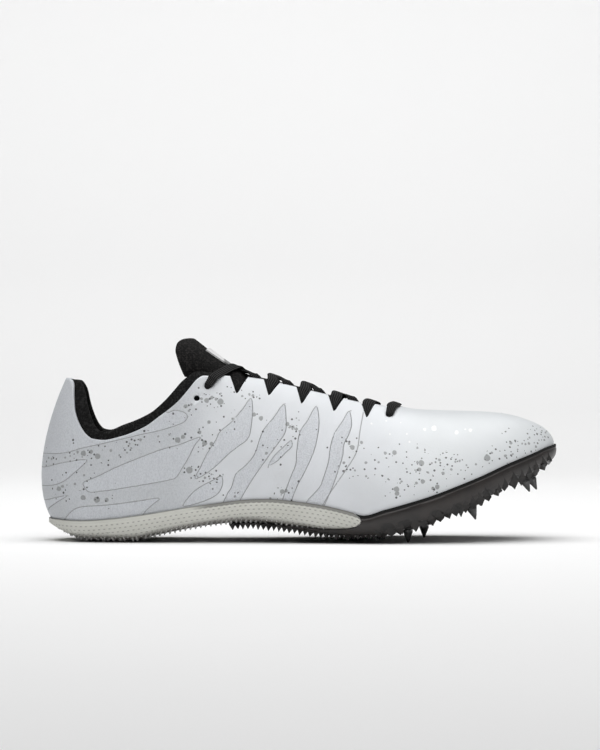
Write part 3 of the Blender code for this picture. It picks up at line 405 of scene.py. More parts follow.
def control_points(row, side):
    """The four control points of a column on the outer side (-1) or the inner side (1)."""
    cell = dict(zip(FORM_COLUMNS, row))
    along, across, up = LENGTH / 100, BALL_WIDTH / 100, INSTEP_HEIGHT / 100
    foot_y = side * cell["outer" if side < 0 else "inner"] * across
    foot_x = cell["foot_x"] * along
    foot = np.array([foot_x, foot_y, float(profile(foot_x, "floor")) + CLEARANCE])
    top_y = (cell["top_y"] + side * cell["half"]) * across
    top = np.array([cell["top_x"] * along, top_y, cell["top_z"] * up])
    outward = foot[:2] - top[:2]
    outward = np.append(outward / np.linalg.norm(outward), 0.0)
    lift = np.array([0.0, 0.0, up])
    low_handle = foot + outward * cell["out"] * across + lift * cell["rise"]
    high_handle = top + outward * cell["reach"] * across - lift * cell["fall"]
    return np.concatenate([foot, low_handle, high_handle, top])


class Last:
    """The form as a surface: a station counts along one side from 0 at the heel to LAST_STATION at the toe,
    and a share runs from 0 on the foot line to 1 on the top line."""

    def __init__(self):
        outer = [control_points(row, -1) for row in FORM.values()]
        inner = [control_points(row, 1) for row in FORM.values()]
        self.rows = np.array(outer + inner[-2:0:-1])
        self.tangents = closed_tangents(self.rows)

    def controls(self, side, station):
        """Control points, as (n, 4, 3), of the columns at these stations."""
        station = np.atleast_1d(np.asarray(station, float))
        around = station if side < 0 else (2 * LAST_STATION - station) % len(self.rows)
        index = np.floor(around).astype(int) % len(self.rows)
        following = (index + 1) % len(self.rows)
        t = (around - np.floor(around))[:, None]
        made = (
            (1 + 2 * t) * (1 - t) ** 2 * self.rows[index]
            + t * (1 - t) ** 2 * self.tangents[index]
            + t * t * (3 - 2 * t) * self.rows[following]
            + t * t * (t - 1) * self.tangents[following]
        )
        return made.reshape(-1, 4, 3)

    def point(self, side, station, share):
        """Points on the surface, as (n, 3)."""
        a, b, c, d = np.moveaxis(self.controls(side, station), 1, 0)
        v = np.broadcast_to(np.atleast_1d(np.asarray(share, float)), len(a))[:, None]
        return (1 - v) ** 3 * a + 3 * v * (1 - v) ** 2 * b + 3 * v * v * (1 - v) * c + v**3 * d

    def normal(self, side, station, share):
        """Unit normals that point out of the shoe."""
        step = 1e-3
        station = np.atleast_1d(np.asarray(station, float))
        share = np.broadcast_to(np.atleast_1d(np.asarray(share, float)), len(station))
        along = self.point(side, station + step, share) - self.point(side, station - step, share)
        up = self.point(side, station, share + step) - self.point(side, station, share - step)
        found = np.cross(up, along) * (1 if side < 0 else -1)
        return -found / np.linalg.norm(found, axis=1)[:, None]

    def length(self, side, station):
        """Rough length of each column, by its control points."""
        return np.linalg.norm(np.diff(self.controls(side, station), axis=1), axis=2).sum(axis=1)

    def share_where(self, side, station, past):
        """Largest share at which past(points) is still False, found by halving, for each station."""
        station = np.atleast_1d(np.asarray(station, float))
        low, high = np.zeros(len(station)), np.ones(len(station))
        for _ in range(30):
            middle = (low + high) / 2
            beyond = past(self.point(side, station, middle))
            low, high = np.where(beyond, low, middle), np.where(beyond, middle, high)
        return low

    def station_at(self, top_x):
        """Station whose column ends at this place along the top line."""
        wanted = np.atleast_1d(np.asarray(top_x, float))
        low, high = np.zeros(len(wanted)), np.full(len(wanted), float(LAST_STATION))
        for _ in range(30):
            middle = (low + high) / 2
            beyond = self.controls(-1, middle)[:, 3, 0] > wanted
            low, high = np.where(beyond, low, middle), np.where(beyond, middle, high)
        return (low + high) / 2


last = Last()


def top_place(station):
    """Where a column ends along the top line, in hundredths of LENGTH."""
    return last.controls(-1, station)[:, 3, 0] / LENGTH * 100


def collar_height(table, place):
    """Height of an edge round the collar for a column that ends at this place."""
    top_of = {"tab": HEEL_TAB_HEIGHT, "eyestay": EYESTAY_HEIGHT}
    places = [row[0] for row in table]
    heights = [COLLAR_DIP_HEIGHT + row[1] * (top_of[row[2]] - COLLAR_DIP_HEIGHT) for row in table]
    return smooth_line(places, heights, place)


def throat_half(place):
    """Half width of the throat, with its rounded front end."""
    places, shares = zip(*THROAT_CUT)
    half = smooth_line(places, shares, place) * THROAT_HALF
    front = np.clip((place - places[-1]) / (THROAT_FRONT - places[-1]), 0.0, 1.0)
    return half * np.sqrt(1 - front * front)


def notch_share(place):
    """How far into a notch a place along the throat is, from 0 on its edge to 1 at its rounded tip."""
    depth = np.zeros(len(place))
    for start, tip, end in NOTCHES.values():
        into = np.minimum((place - start) / (tip - start), (end - place) / (end - tip))
        into = np.clip(into, 0.0, 1.0)
        round_off = np.clip(into - NOTCH_STRAIGHT, 0.0, None) ** 2 / (1 - NOTCH_STRAIGHT)
        depth = np.maximum(depth, into - NOTCH_ROUND * round_off)
    return depth / (1 - NOTCH_ROUND * (1 - NOTCH_STRAIGHT))


def cut_share(side, station, notched=True):
    """Share at which each column is cut off by the collar, the throat or neither."""
    station = np.atleast_1d(np.asarray(station, float))
    place = top_place(station)
    height = collar_height(COLLAR_CUT, place)
    by_height = last.share_where(side, station, lambda p: p[:, 2] > height)
    by_height = np.where(place > COLLAR_CUT[-1][0], 1.0, by_height)
    centre = (last.controls(-1, station)[:, 3, 1] + last.controls(1, station)[:, 3, 1]) / 2
    half = throat_half(place)
    by_half = last.share_where(side, station, lambda p: np.abs(p[:, 1] - centre) < half)
    by_half = np.where(place < THROAT_CUT[0][0], 1.0, by_half)
    by_half = np.where(place >= THROAT_FRONT, 1.0, by_half)
    cut = np.minimum(by_height, by_half)
    if notched:
        cut = cut - notch_share(place) * NOTCH_DEPTH / last.length(side, station)
    return cut


# Materials


class Nodes:
    """Short names for placing nodes in one tree and joining them."""

    def __init__(self, tree):
        self.tree = tree

    def add(self, kind, **settings):
        node = self.tree.nodes.new(kind)
        for name, value in settings.items():
            setattr(node, name, value)
        return node

    def feed(self, socket, value):
        if isinstance(value, bpy.types.NodeSocket):
            self.tree.links.new(value, socket)
        else:
            socket.default_value = value

    def math(self, operation, *values):
        node = self.add("ShaderNodeMath", operation=operation)
        for socket, value in zip(node.inputs, values):
            self.feed(socket, value)
        return node.outputs[0]

    def ramp(self, value, low, high, out_low=0.0, out_high=1.0):
        """Goes smoothly from out_low to out_high as value goes from low to high."""
        node = self.add("ShaderNodeMapRange", interpolation_type="SMOOTHSTEP")
        for socket, given in zip(node.inputs, (value, low, high, out_low, out_high)):
            self.feed(socket, given)
        return node.outputs[0]

    def mix(self, share, first, second):
        node = self.add("ShaderNodeMix", data_type="RGBA")
        self.feed(node.inputs[0], share)
        self.feed(node.inputs[6], first)
        self.feed(node.inputs[7], second)
        return node.outputs[2]

    def noise(self, vector, scale, detail=2.0, roughness=0.5, stretch=None):
        if stretch is not None:
            vector = self.scaled(vector, stretch)
        node = self.add("ShaderNodeTexNoise")
        self.feed(node.inputs["Vector"], vector)
        node.inputs["Scale"].default_value = scale
        node.inputs["Detail"].default_value = detail
        node.inputs["Roughness"].default_value = roughness
        return node.outputs["Fac"]

    def cells(self, vector, scale):
        node = self.add("ShaderNodeTexVoronoi")
        self.feed(node.inputs["Vector"], vector)
        node.inputs["Scale"].default_value = scale
        return node.outputs

    def scaled(self, vector, stretch):
        node = self.add("ShaderNodeMapping")
        self.feed(node.inputs["Vector"], vector)
        node.inputs["Scale"].default_value = stretch
        return node.outputs[0]

    def place(self):
        return self.add("ShaderNodeTexCoord").outputs["Object"]

    def attribute(self, name, output="Fac"):
        return self.add("ShaderNodeAttribute", attribute_name=name).outputs[output]

    def parts(self, vector):
        node = self.add("ShaderNodeSeparateXYZ")
        self.feed(node.inputs[0], vector)
        return node.outputs

    def bump(self, height, strength, distance):
        node = self.add("ShaderNodeBump")
        node.inputs["Strength"].default_value = strength
        node.inputs["Distance"].default_value = distance
        self.feed(node.inputs["Height"], height)
        return node.outputs[0]

    def use(self, group, **inputs):
        node = self.add("ShaderNodeGroup", node_tree=group)
        for name, value in inputs.items():
            self.feed(node.inputs[name.replace("_", " ")], value)
        return node.outputs


def grey(level, tint=(1.0, 1.0, 1.0)):
    """A linear colour from a shade as the eye reads it, 0 to 255, and its tint."""
    return (*[(level * t / 255) ** 2.2 for t in tint], 1.0)


def new_look(name, **settings):
    """A material with a Principled shader; the settings go on the shader's own sockets."""
    look = bpy.data.materials.new(name)
    look.use_nodes = True
    nodes = Nodes(look.node_tree)
    shader = look.node_tree.nodes["Principled BSDF"]
    for socket, value in settings.items():
        shader.inputs[socket.replace("_", " ")].default_value = value
    return look, nodes, shader


def new_group(name, inputs, outputs):
    """A node group with these sockets, given as (name, kind, default) and (name, kind)."""
    tree = bpy.data.node_groups.new(name, "ShaderNodeTree")
    for socket, kind, default in inputs:
        made = tree.interface.new_socket(socket, in_out="INPUT", socket_type=kind)
        made.default_value = default
    for socket, kind in outputs:
        tree.interface.new_socket(socket, in_out="OUTPUT", socket_type=kind)
    nodes = Nodes(tree)
    return tree, nodes, nodes.add("NodeGroupInput").outputs, nodes.add("NodeGroupOutput").inputs


VALUE, VECTOR = "NodeSocketFloat", "NodeSocketVector"


def make_grain():
    """Fine uneven relief with a slow change of shade over it."""
    tree, nodes, given, out = new_group(
        "grain",
        [("Scale", VALUE, 900.0), ("Slow Scale", VALUE, 40.0)],
        [("Height", VALUE), ("Shade", VALUE)],
    )
    place = nodes.place()
    fine = nodes.add("ShaderNodeTexNoise")
    fine.inputs["Detail"].default_value = 3.0
    fine.inputs["Roughness"].default_value = 0.65
    nodes.feed(fine.inputs["Vector"], place)
    nodes.feed(fine.inputs["Scale"], given["Scale"])
    slow = nodes.add("ShaderNodeTexNoise")
    slow.inputs["Detail"].default_value = 4.0
    nodes.feed(slow.inputs["Vector"], place)
    nodes.feed(slow.inputs["Scale"], given["Slow Scale"])
    nodes.feed(out["Height"], fine.outputs["Fac"])
    nodes.feed(out["Shade"], nodes.ramp(slow.outputs["Fac"], 0.3, 0.7))
    return tree


def make_knit():
    """Small open knit: rounded cells with dark holes between them."""
    tree, nodes, given, out = new_group(
        "knit",
        [("Cell", VALUE, 0.0011), ("Lie", VECTOR, (1.0, 1.0, 1.0))],
        [("Height", VALUE), ("Hole", VALUE), ("Fleck", VALUE)],
    )
    scaled = nodes.add("ShaderNodeVectorMath", operation="MULTIPLY")
    nodes.feed(scaled.inputs[0], nodes.place())
    nodes.feed(scaled.inputs[1], given["Lie"])
    per_cell = nodes.math("DIVIDE", 1.0, given["Cell"])
    cells = nodes.add("ShaderNodeTexVoronoi", feature="DISTANCE_TO_EDGE")
    cells.inputs["Randomness"].default_value = 0.45
    nodes.feed(cells.inputs["Vector"], scaled.outputs[0])
    nodes.feed(cells.inputs["Scale"], per_cell)
    fleck = nodes.add("ShaderNodeTexNoise")
    fleck.inputs["Detail"].default_value = 2.0
    nodes.feed(fleck.inputs["Vector"], scaled.outputs[0])
    nodes.feed(fleck.inputs["Scale"], per_cell)
    hole = nodes.ramp(cells.outputs["Distance"], 0.12, 0.32)
    nodes.feed(out["Height"], nodes.math("SUBTRACT", 1.0, hole))
    nodes.feed(out["Hole"], hole)
    nodes.feed(out["Fleck"], nodes.ramp(fleck.outputs["Fac"], 0.42, 0.66))
    return tree


def side_place(nodes):
    """Side-view millimetres, X from the heel's back and Z from the floor."""
    x, _, z = nodes.parts(nodes.place())
    x_mm = nodes.math("MULTIPLY_ADD", x, 1 / MM, HEEL_X / MM)
    return x_mm, nodes.math("MULTIPLY", z, 1 / MM)


def line_distance(nodes, name, x_mm, z_mm):
    """Signed millimetres from the line that a face attribute holds."""
    nx, nz, away = nodes.parts(nodes.attribute(name, "Vector"))
    across = nodes.math("MULTIPLY_ADD", nz, z_mm, nodes.math("MULTIPLY", nx, x_mm))
    return nodes.math("SUBTRACT", across, away)


def upper_look():
    look, nodes, shader = new_look("upper_skin")
    x_mm, z_mm = side_place(nodes)
    place = nodes.place()
    wander = nodes.math("MULTIPLY_ADD", nodes.noise(place, 700.0, 2.0), 0.5, -0.25)

    edge = line_distance(nodes, "panel_edge", x_mm, z_mm)
    edge = nodes.math("ADD", edge, nodes.math("MULTIPLY", wander, 0.5))
    line = nodes.ramp(nodes.math("ABSOLUTE", edge), 0.10, 0.30, 1.0, 0.0)
    inside = nodes.ramp(edge, -0.15, 0.15, 1.0, 0.0)
    stroke = nodes.math("ABSOLUTE", line_distance(nodes, "stroke", x_mm, z_mm))
    stroke = nodes.ramp(stroke, 0.12, 0.34, 1.0, 0.0)
    line = nodes.math("MAXIMUM", line, stroke)

    spot_x, spot_z, radius = nodes.parts(nodes.attribute("spot", "Vector"))
    dx, dz = nodes.math("SUBTRACT", x_mm, spot_x), nodes.math("SUBTRACT", z_mm, spot_z)
    away = nodes.math("SQRT", nodes.math("MULTIPLY_ADD", dx, dx, nodes.math("MULTIPLY", dz, dz)))
    away = nodes.math("SUBTRACT", away, nodes.math("ABSOLUTE", radius))
    away = nodes.math("MULTIPLY_ADD", wander, 1.8, away)
    spot = nodes.ramp(away, -0.16, 0.16, 1.0, 0.0)
    # painted highlight: spots with a negative radius are silvery print flecks whose glint is painted on as
    # near-white colour
    painted_glint_fleck = nodes.math("LESS_THAN", radius, 0.0)
    dark_spot = nodes.math("MULTIPLY", spot, nodes.math("SUBTRACT", 1.0, painted_glint_fleck))
    fleck = nodes.math("MULTIPLY", spot, painted_glint_fleck)

    drops = nodes.cells(place, 520.0)
    size = nodes.parts(drops["Color"])
    seen = nodes.math("LESS_THAN", size[0], nodes.math("MULTIPLY", nodes.attribute("spray"), 0.75))
    reach = nodes.math("MULTIPLY_ADD", size[1], 0.20, 0.14)
    drop = nodes.math("MULTIPLY", seen, nodes.math("LESS_THAN", drops["Distance"], reach))

    grain = nodes.use(GRAIN, Scale=1500.0, Slow_Scale=45.0)
    heel = nodes.ramp(x_mm, 70.0, 100.0, 1.0, 0.0)
    skin = nodes.mix(heel, grey(228, (0.98, 0.993, 1.01)), grey(208, (0.975, 0.99, 1.01)))
    toe = nodes.ramp(x_mm, 175.0, 215.0)
    skin = nodes.mix(toe, skin, grey(222, (0.98, 0.995, 1.005)))
    skin = nodes.mix(nodes.math("MULTIPLY", grain["Shade"], 0.25), skin, grey(198, (0.98, 0.995, 1.0)))
    skin = nodes.mix(nodes.math("MULTIPLY", inside, 0.6), skin, grey(218, (0.975, 0.99, 1.015)))
    fibre = nodes.noise(place, 1900.0, 2.0, 0.7, stretch=(1.0, 1.0, 0.5))
    weave = nodes.math("MULTIPLY", nodes.ramp(fibre, 0.42, 0.62), nodes.math("MAXIMUM", heel, inside))
    skin = nodes.mix(nodes.math("MULTIPLY", weave, 0.4), skin, grey(180, (0.97, 0.99, 1.02)))
    skin = nodes.mix(nodes.math("MULTIPLY", line, 0.6), skin, grey(118))
    skin = nodes.mix(nodes.math("MULTIPLY", dark_spot, 0.85), skin, grey(146, (0.985, 1.0, 1.0)))
    skin = nodes.mix(nodes.math("MULTIPLY", drop, 0.9), skin, grey(74))
    skin = nodes.mix(nodes.math("MULTIPLY", fleck, 0.8), skin, grey(245))
    nodes.feed(shader.inputs["Base Color"], skin)

    crepe = nodes.noise(place, 900.0, 3.0, 0.65, stretch=(1.0, 1.0, 0.6))
    rough_zone = nodes.math("MAXIMUM", heel, nodes.math("MULTIPLY", inside, 0.9))
    relief = nodes.math("MULTIPLY", crepe, nodes.math("MULTIPLY_ADD", rough_zone, 0.9, 0.1))
    relief = nodes.math("SUBTRACT", relief, nodes.math("MULTIPLY", line, 0.5))
    relief = nodes.math("MULTIPLY_ADD", grain["Height"], 0.25, relief)
    nodes.feed(shader.inputs["Normal"], nodes.bump(relief, 0.8, 0.0006))
    nodes.feed(shader.inputs["Roughness"], nodes.math("MULTIPLY_ADD", rough_zone, 0.22, 0.36))
    return look


def inside_look():
    look, nodes, shader = new_look("upper_inside_mesh", Roughness=0.9, Specular_IOR_Level=0.2)
    knit = nodes.use(KNIT, Cell=0.0013)
    nodes.feed(shader.inputs["Base Color"], nodes.mix(knit["Hole"], grey(50), grey(16)))
    nodes.feed(shader.inputs["Normal"], nodes.bump(knit["Height"], 0.5, 0.0003))
    return look


def knit_look(name, thread, hole, fleck, cell, lie=(1.0, 1.0, 1.0), relief=0.0003, sheen=0.25):
    look, nodes, shader = new_look(name, Roughness=0.88, Specular_IOR_Level=0.25, Sheen_Weight=sheen)
    knit = nodes.use(KNIT, Cell=cell, Lie=lie)
    grain = nodes.use(GRAIN, Scale=3500.0, Slow_Scale=90.0)
    body = nodes.mix(knit["Fleck"], thread, fleck)
    body = nodes.mix(nodes.math("MULTIPLY", grain["Shade"], 0.35), body, hole)
    nodes.feed(shader.inputs["Base Color"], nodes.mix(knit["Hole"], body, hole))
    height = nodes.math("MULTIPLY_ADD", grain["Height"], 0.35, knit["Height"])
    nodes.feed(shader.inputs["Normal"], nodes.bump(height, 0.6, relief))
    return look


def label_look():
    look, nodes, shader = new_look("label_rubber", Roughness=0.5)
    grain = nodes.use(GRAIN, Scale=2600.0, Slow_Scale=150.0)
    x_mm, _ = side_place(nodes)
    pale = nodes.mix(grain["Shade"], grey(226), grey(212))
    low_end = nodes.ramp(x_mm, 98.6, 99.8)
    nodes.feed(shader.inputs["Base Color"], nodes.mix(low_end, pale, grey(132)))
    nodes.feed(shader.inputs["Normal"], nodes.bump(grain["Height"], 0.2, 0.00015))
    return look


# The lace's weave: ribs on each half of its width, and the length of a pick
HALF_RIBS = 2.6
PICK_MM = 0.9


def lace_look():
    look, nodes, shader = new_look("lace_ribbon", Roughness=0.8, Specular_IOR_Level=0.25)
    across, along = nodes.attribute("ribbon_across"), nodes.attribute("ribbon_along")
    ribs = nodes.math("SINE", nodes.math("MULTIPLY", across, 2 * math.pi * HALF_RIBS))
    picks = nodes.math("MULTIPLY_ADD", along, 2 * math.pi / PICK_MM, nodes.math("MULTIPLY", ribs, 1.2))
    picks = nodes.math("SINE", picks)
    height = nodes.math("MULTIPLY_ADD", picks, 0.3, ribs)
    # painted highlight: each rib's raised crest is painted lighter, as where light catches it
    shade = nodes.ramp(height, 0.35, 1.1)
    nodes.feed(shader.inputs["Base Color"], nodes.mix(shade, grey(10), grey(74)))
    nodes.feed(shader.inputs["Normal"], nodes.bump(height, 0.8, 0.0004))
    return look


# Small dashes in staggered rows on the wedge, dimples whose darkness is painted shade, and the bulges of its
# lip
DASH_PITCH_MM = 2.9
DASH_ROW_MM = 2.1


def wedge_look():
    look, nodes, shader = new_look("wedge_foam", Roughness=0.55)
    along, below = nodes.attribute("sole_along"), nodes.attribute("sole_below")
    x_mm, _ = side_place(nodes)
    grain = nodes.use(GRAIN, Scale=1100.0, Slow_Scale=60.0)
    row = nodes.math("DIVIDE", below, DASH_ROW_MM)
    odd = nodes.math("MULTIPLY", nodes.math("MODULO", nodes.math("FLOOR", row), 2.0), 0.5)
    pitch = nodes.math("ADD", nodes.math("DIVIDE", along, DASH_PITCH_MM), odd)
    u = nodes.math("ABSOLUTE", nodes.math("SUBTRACT", nodes.math("FRACT", pitch), 0.5))
    v = nodes.math("ABSOLUTE", nodes.math("SUBTRACT", nodes.math("FRACT", row), 0.5))
    u, v = nodes.ramp(u, 0.12, 0.26, 1.0, 0.0), nodes.ramp(v, 0.06, 0.20, 1.0, 0.0)
    above = nodes.attribute("sole_above")
    low = nodes.math("MULTIPLY", nodes.ramp(below, 2.6, 2.9), nodes.ramp(above, 1.0, 2.0))
    # the dimples are sunk by the bump below, and their dark colour is painted shade inside them
    dimple_and_shade = nodes.math("MULTIPLY", nodes.math("MULTIPLY", u, v), low)
    pale, paler = grey(198, (1.0, 1.0, 0.96)), grey(210, (1.0, 1.0, 0.965))
    foam = nodes.mix(nodes.math("MULTIPLY", grain["Shade"], 0.5), paler, pale)
    foam = nodes.mix(nodes.math("MULTIPLY", dimple_and_shade, 0.55), foam, grey(112, (1.0, 0.98, 0.96)))
    scallop = nodes.math("SINE", nodes.math("MULTIPLY", along, math.pi / DASH_PITCH_MM))
    scallop = nodes.math("ABSOLUTE", scallop)
    lip_edge = nodes.math("SUBTRACT", below, nodes.math("MULTIPLY", scallop, 0.35))
    front = nodes.ramp(x_mm, 80.0, 92.0)
    lip = nodes.math("MULTIPLY", nodes.ramp(lip_edge, 1.45, 1.75, 1.0, 0.0), front)
    foam = nodes.mix(nodes.math("MULTIPLY", lip, 0.85), foam, grey(128, (1.0, 1.0, 0.97)))
    # painted shadow: a dark line along the wedge's top edge, where the gap under the upper lies in shade
    gap_shadow = nodes.ramp(below, 0.25, 0.5, 1.0, 0.0)
    foam = nodes.mix(nodes.math("MULTIPLY", gap_shadow, 0.6), foam, grey(84, (1.0, 0.98, 0.95)))
    # painted shade: the wedge's colour darkens to brown-grey near its underside, where shadow falls
    under = nodes.ramp(above, 1.6, 5.5, 1.0, 0.0)
    foam = nodes.mix(nodes.math("MULTIPLY", under, 0.9), foam, grey(62, (1.0, 0.92, 0.86)))
    nodes.feed(shader.inputs["Base Color"], foam)
    relief = nodes.math("SUBTRACT", nodes.math("MULTIPLY", grain["Height"], 0.2), dimple_and_shade)
    relief = nodes.math("MULTIPLY_ADD", lip, 0.6, relief)
    nodes.feed(shader.inputs["Normal"], nodes.bump(relief, 0.5, 0.0004))
    return look


def rubber_look():
    look, nodes, shader = new_look("wedge_nubs", Roughness=0.5)
    grain = nodes.use(GRAIN, Scale=1500.0, Slow_Scale=120.0)
    pale, dull = grey(192, (1.0, 1.0, 0.985)), grey(156, (1.0, 0.995, 0.98))
    nodes.feed(shader.inputs["Base Color"], nodes.mix(grain["Shade"], pale, dull))
    nodes.feed(shader.inputs["Normal"], nodes.bump(grain["Height"], 0.3, 0.0002))
    return look


def plate_look():
    """Smoky moulding with a black top edge, and painted shade in the pockets between its claws."""
    look, nodes, shader = new_look("plate_moulding")
    x_mm, z_mm = side_place(nodes)
    grain = nodes.use(GRAIN, Scale=1800.0, Slow_Scale=110.0)
    below = nodes.attribute("sole_below")
    wander = nodes.math("MULTIPLY_ADD", nodes.noise(nodes.place(), 260.0, 2.0), 2.4, -1.2)
    dark = None
    for pocket_x, pocket_z, radius in POCKETS:
        dx = nodes.math("SUBTRACT", x_mm, pocket_x)
        dz = nodes.math("MULTIPLY", nodes.math("SUBTRACT", z_mm, pocket_z), 1.25)
        away = nodes.math("SQRT", nodes.math("MULTIPLY_ADD", dx, dx, nodes.math("MULTIPLY", dz, dz)))
        one = nodes.ramp(nodes.math("ADD", away, wander), 0.85 * radius, 1.2 * radius, 1.0, 0.0)
        dark = one if dark is None else nodes.math("MAXIMUM", dark, one)
    smoke = nodes.mix(grain["Shade"], grey(48, (1.0, 0.90, 0.86)), grey(38, (1.0, 0.92, 0.89)))
    # painted shade: the plate's colour goes near-black in the pockets, where shade falls between the claws
    smoke = nodes.mix(nodes.math("MULTIPLY", dark, 0.85), smoke, grey(17, (1.0, 0.86, 0.80)))
    band = nodes.ramp(below, 1.5, 1.8, 1.0, 0.0)
    nodes.feed(shader.inputs["Base Color"], nodes.mix(band, smoke, grey(10)))
    fall = nodes.math("MULTIPLY", dark, 0.9)
    relief = nodes.math("SUBTRACT", nodes.math("MULTIPLY", grain["Height"], 0.1), fall)
    nodes.feed(shader.inputs["Normal"], nodes.bump(relief, 0.5, 0.0006))
    nodes.feed(shader.inputs["Roughness"], nodes.math("MULTIPLY_ADD", band, 0.55, 0.33))
    return look


def claw_look():
    look, nodes, shader = new_look("plate_claws", Roughness=0.4)
    grain = nodes.use(GRAIN, Scale=1800.0, Slow_Scale=160.0)
    brown, black = grey(36, (1.0, 0.89, 0.84)), grey(18, (1.0, 0.90, 0.86))
    nodes.feed(shader.inputs["Base Color"], nodes.mix(grain["Shade"], brown, black))
    nodes.feed(shader.inputs["Normal"], nodes.bump(grain["Height"], 0.2, 0.00015))
    return look


def spike_look():
    look, nodes, shader = new_look("spike_metal", Metallic=0.75)
    grain = nodes.use(GRAIN, Scale=2500.0, Slow_Scale=300.0)
    nodes.feed(shader.inputs["Base Color"], nodes.mix(grain["Shade"], grey(96), grey(72)))
    nodes.feed(shader.inputs["Roughness"], nodes.math("MULTIPLY_ADD", grain["Height"], 0.25, 0.25))
    nodes.feed(shader.inputs["Normal"], nodes.bump(grain["Height"], 0.2, 0.0001))
    return look


def floor_look():
    look, nodes, shader = new_look("pale_paper", Roughness=0.9, Specular_IOR_Level=0.1)
    slow = nodes.noise(nodes.place(), 3.0, 2.0)
    nodes.feed(shader.inputs["Base Color"], nodes.mix(slow, grey(240), grey(243)))
    return look


GRAIN = make_grain()
KNIT = make_knit()


# Making meshes

SHOE = bpy.data.collections.new("shoe")
bpy.context.scene.collection.children.link(SHOE)


def mesh_piece(name, points, faces, weld=0.00002, sharp=40):
    """A smooth-shaded mesh object from points in side-view place, with matching points made one."""
    mesh = bpy.data.meshes.new(name)
    points = np.asarray(points, float) - np.array([HEEL_X, 0.0, 0.0])
    mesh.from_pydata([tuple(p) for p in points], [], faces)
    work = bmesh.new()
    work.from_mesh(mesh)
    if weld:
        bmesh.ops.remove_doubles(work, verts=work.verts, dist=weld)
        bmesh.ops.dissolve_degenerate(work, edges=work.edges, dist=weld)
    bmesh.ops.recalc_face_normals(work, faces=work.faces)
    work.to_mesh(mesh)
    work.free()
    mesh.shade_smooth()
    mesh.set_sharp_from_angle(angle=math.radians(sharp))
    obj = bpy.data.objects.new(name, mesh)
    SHOE.objects.link(obj)
    return obj


def bake_modifiers(obj, sharp=40):
    """Puts what the modifiers make into the mesh."""
    depsgraph = bpy.context.evaluated_depsgraph_get()
    made = bpy.data.meshes.new_from_object(obj.evaluated_get(depsgraph))
    obj.modifiers.clear()
    obj.data = made
    made.shade_smooth()
    made.set_sharp_from_angle(angle=math.radians(sharp))


def cut(obj, cutters):
    """Booleans, done at once, as (operation, cutter) pairs; the cutters are deleted."""
    for operation, cutter in cutters:
        modifier = obj.modifiers.new(operation, "BOOLEAN")
        modifier.operation = operation
        modifier.solver = "EXACT"
        modifier.object = cutter
    bake_modifiers(obj)
    for cutter in {cutter for _, cutter in cutters}:
        bpy.data.objects.remove(cutter)


def grid_faces(rows, columns, wrap=False):
    faces = []
    for row in range(rows - 1):
        for column in range(columns if wrap else columns - 1):
            beside = (column + 1) % columns
            a, b = row * columns + column, row * columns + beside
            faces.append((a, b, b + columns, a + columns))
    return faces


def loft(name, loops, sharp=40):
    loops = np.asarray(loops)
    rows, columns = loops.shape[:2]
    faces = grid_faces(rows, columns, wrap=True)
    faces.append(tuple(range(columns)))
    faces.append(tuple(reversed(range((rows - 1) * columns, rows * columns))))
    return mesh_piece(name, loops.reshape(-1, 3), faces, sharp=sharp)


def side_prism(name, outline):
    outline = np.asarray(outline)
    near = np.column_stack([outline[:, 0], np.full(len(outline), -BALL_WIDTH), outline[:, 1]])
    return loft(name, [near, near + np.array([0.0, 2 * BALL_WIDTH, 0.0])])


def grid_normals(grid):
    """Unit normals out of the shoe, for rows that run back or up and points that run to the inner side."""
    rows, columns = np.gradient(grid, axis=0), np.gradient(grid, axis=1)
    found = np.cross(columns, rows)
    return found / np.linalg.norm(found, axis=2)[:, :, None]


def slab(name, grid, thickness, sharp=50):
    """A closed piece with this outer face and its thickness inside it."""
    grid = np.asarray(grid)
    depth = np.broadcast_to(np.asarray(thickness, float), grid.shape[:2])[:, :, None]
    under = grid - grid_normals(grid) * depth
    return loft(name, np.concatenate([grid, under[:, ::-1]], axis=1), sharp=sharp)


def side_mm(points):
    """Side-view millimetres, (X from the heel's back, Z from the floor), of points in the frame."""
    points = np.asarray(points)
    return np.column_stack([(points[:, 0] + HEEL_X) / MM, points[:, 2] / MM])


def face_attribute(mesh, name, values):
    made = mesh.attributes.new(name, "FLOAT_VECTOR", "FACE")
    made.data.foreach_set("vector", np.asarray(values, np.float32).ravel())


def point_attribute(mesh, name, values):
    made = mesh.attributes.new(name, "FLOAT", "POINT")
    made.data.foreach_set("value", np.asarray(values, np.float32))


def face_centres(mesh):
    centres = np.zeros(len(mesh.polygons) * 3)
    mesh.polygons.foreach_get("center", centres)
    return centres.reshape(-1, 3)


def places(mesh):
    points = np.zeros(len(mesh.vertices) * 3)
    mesh.vertices.foreach_get("co", points)
    return points.reshape(-1, 3)


# The upper

UPPER_STEP = 0.00115
UPPER_ROWS = 70

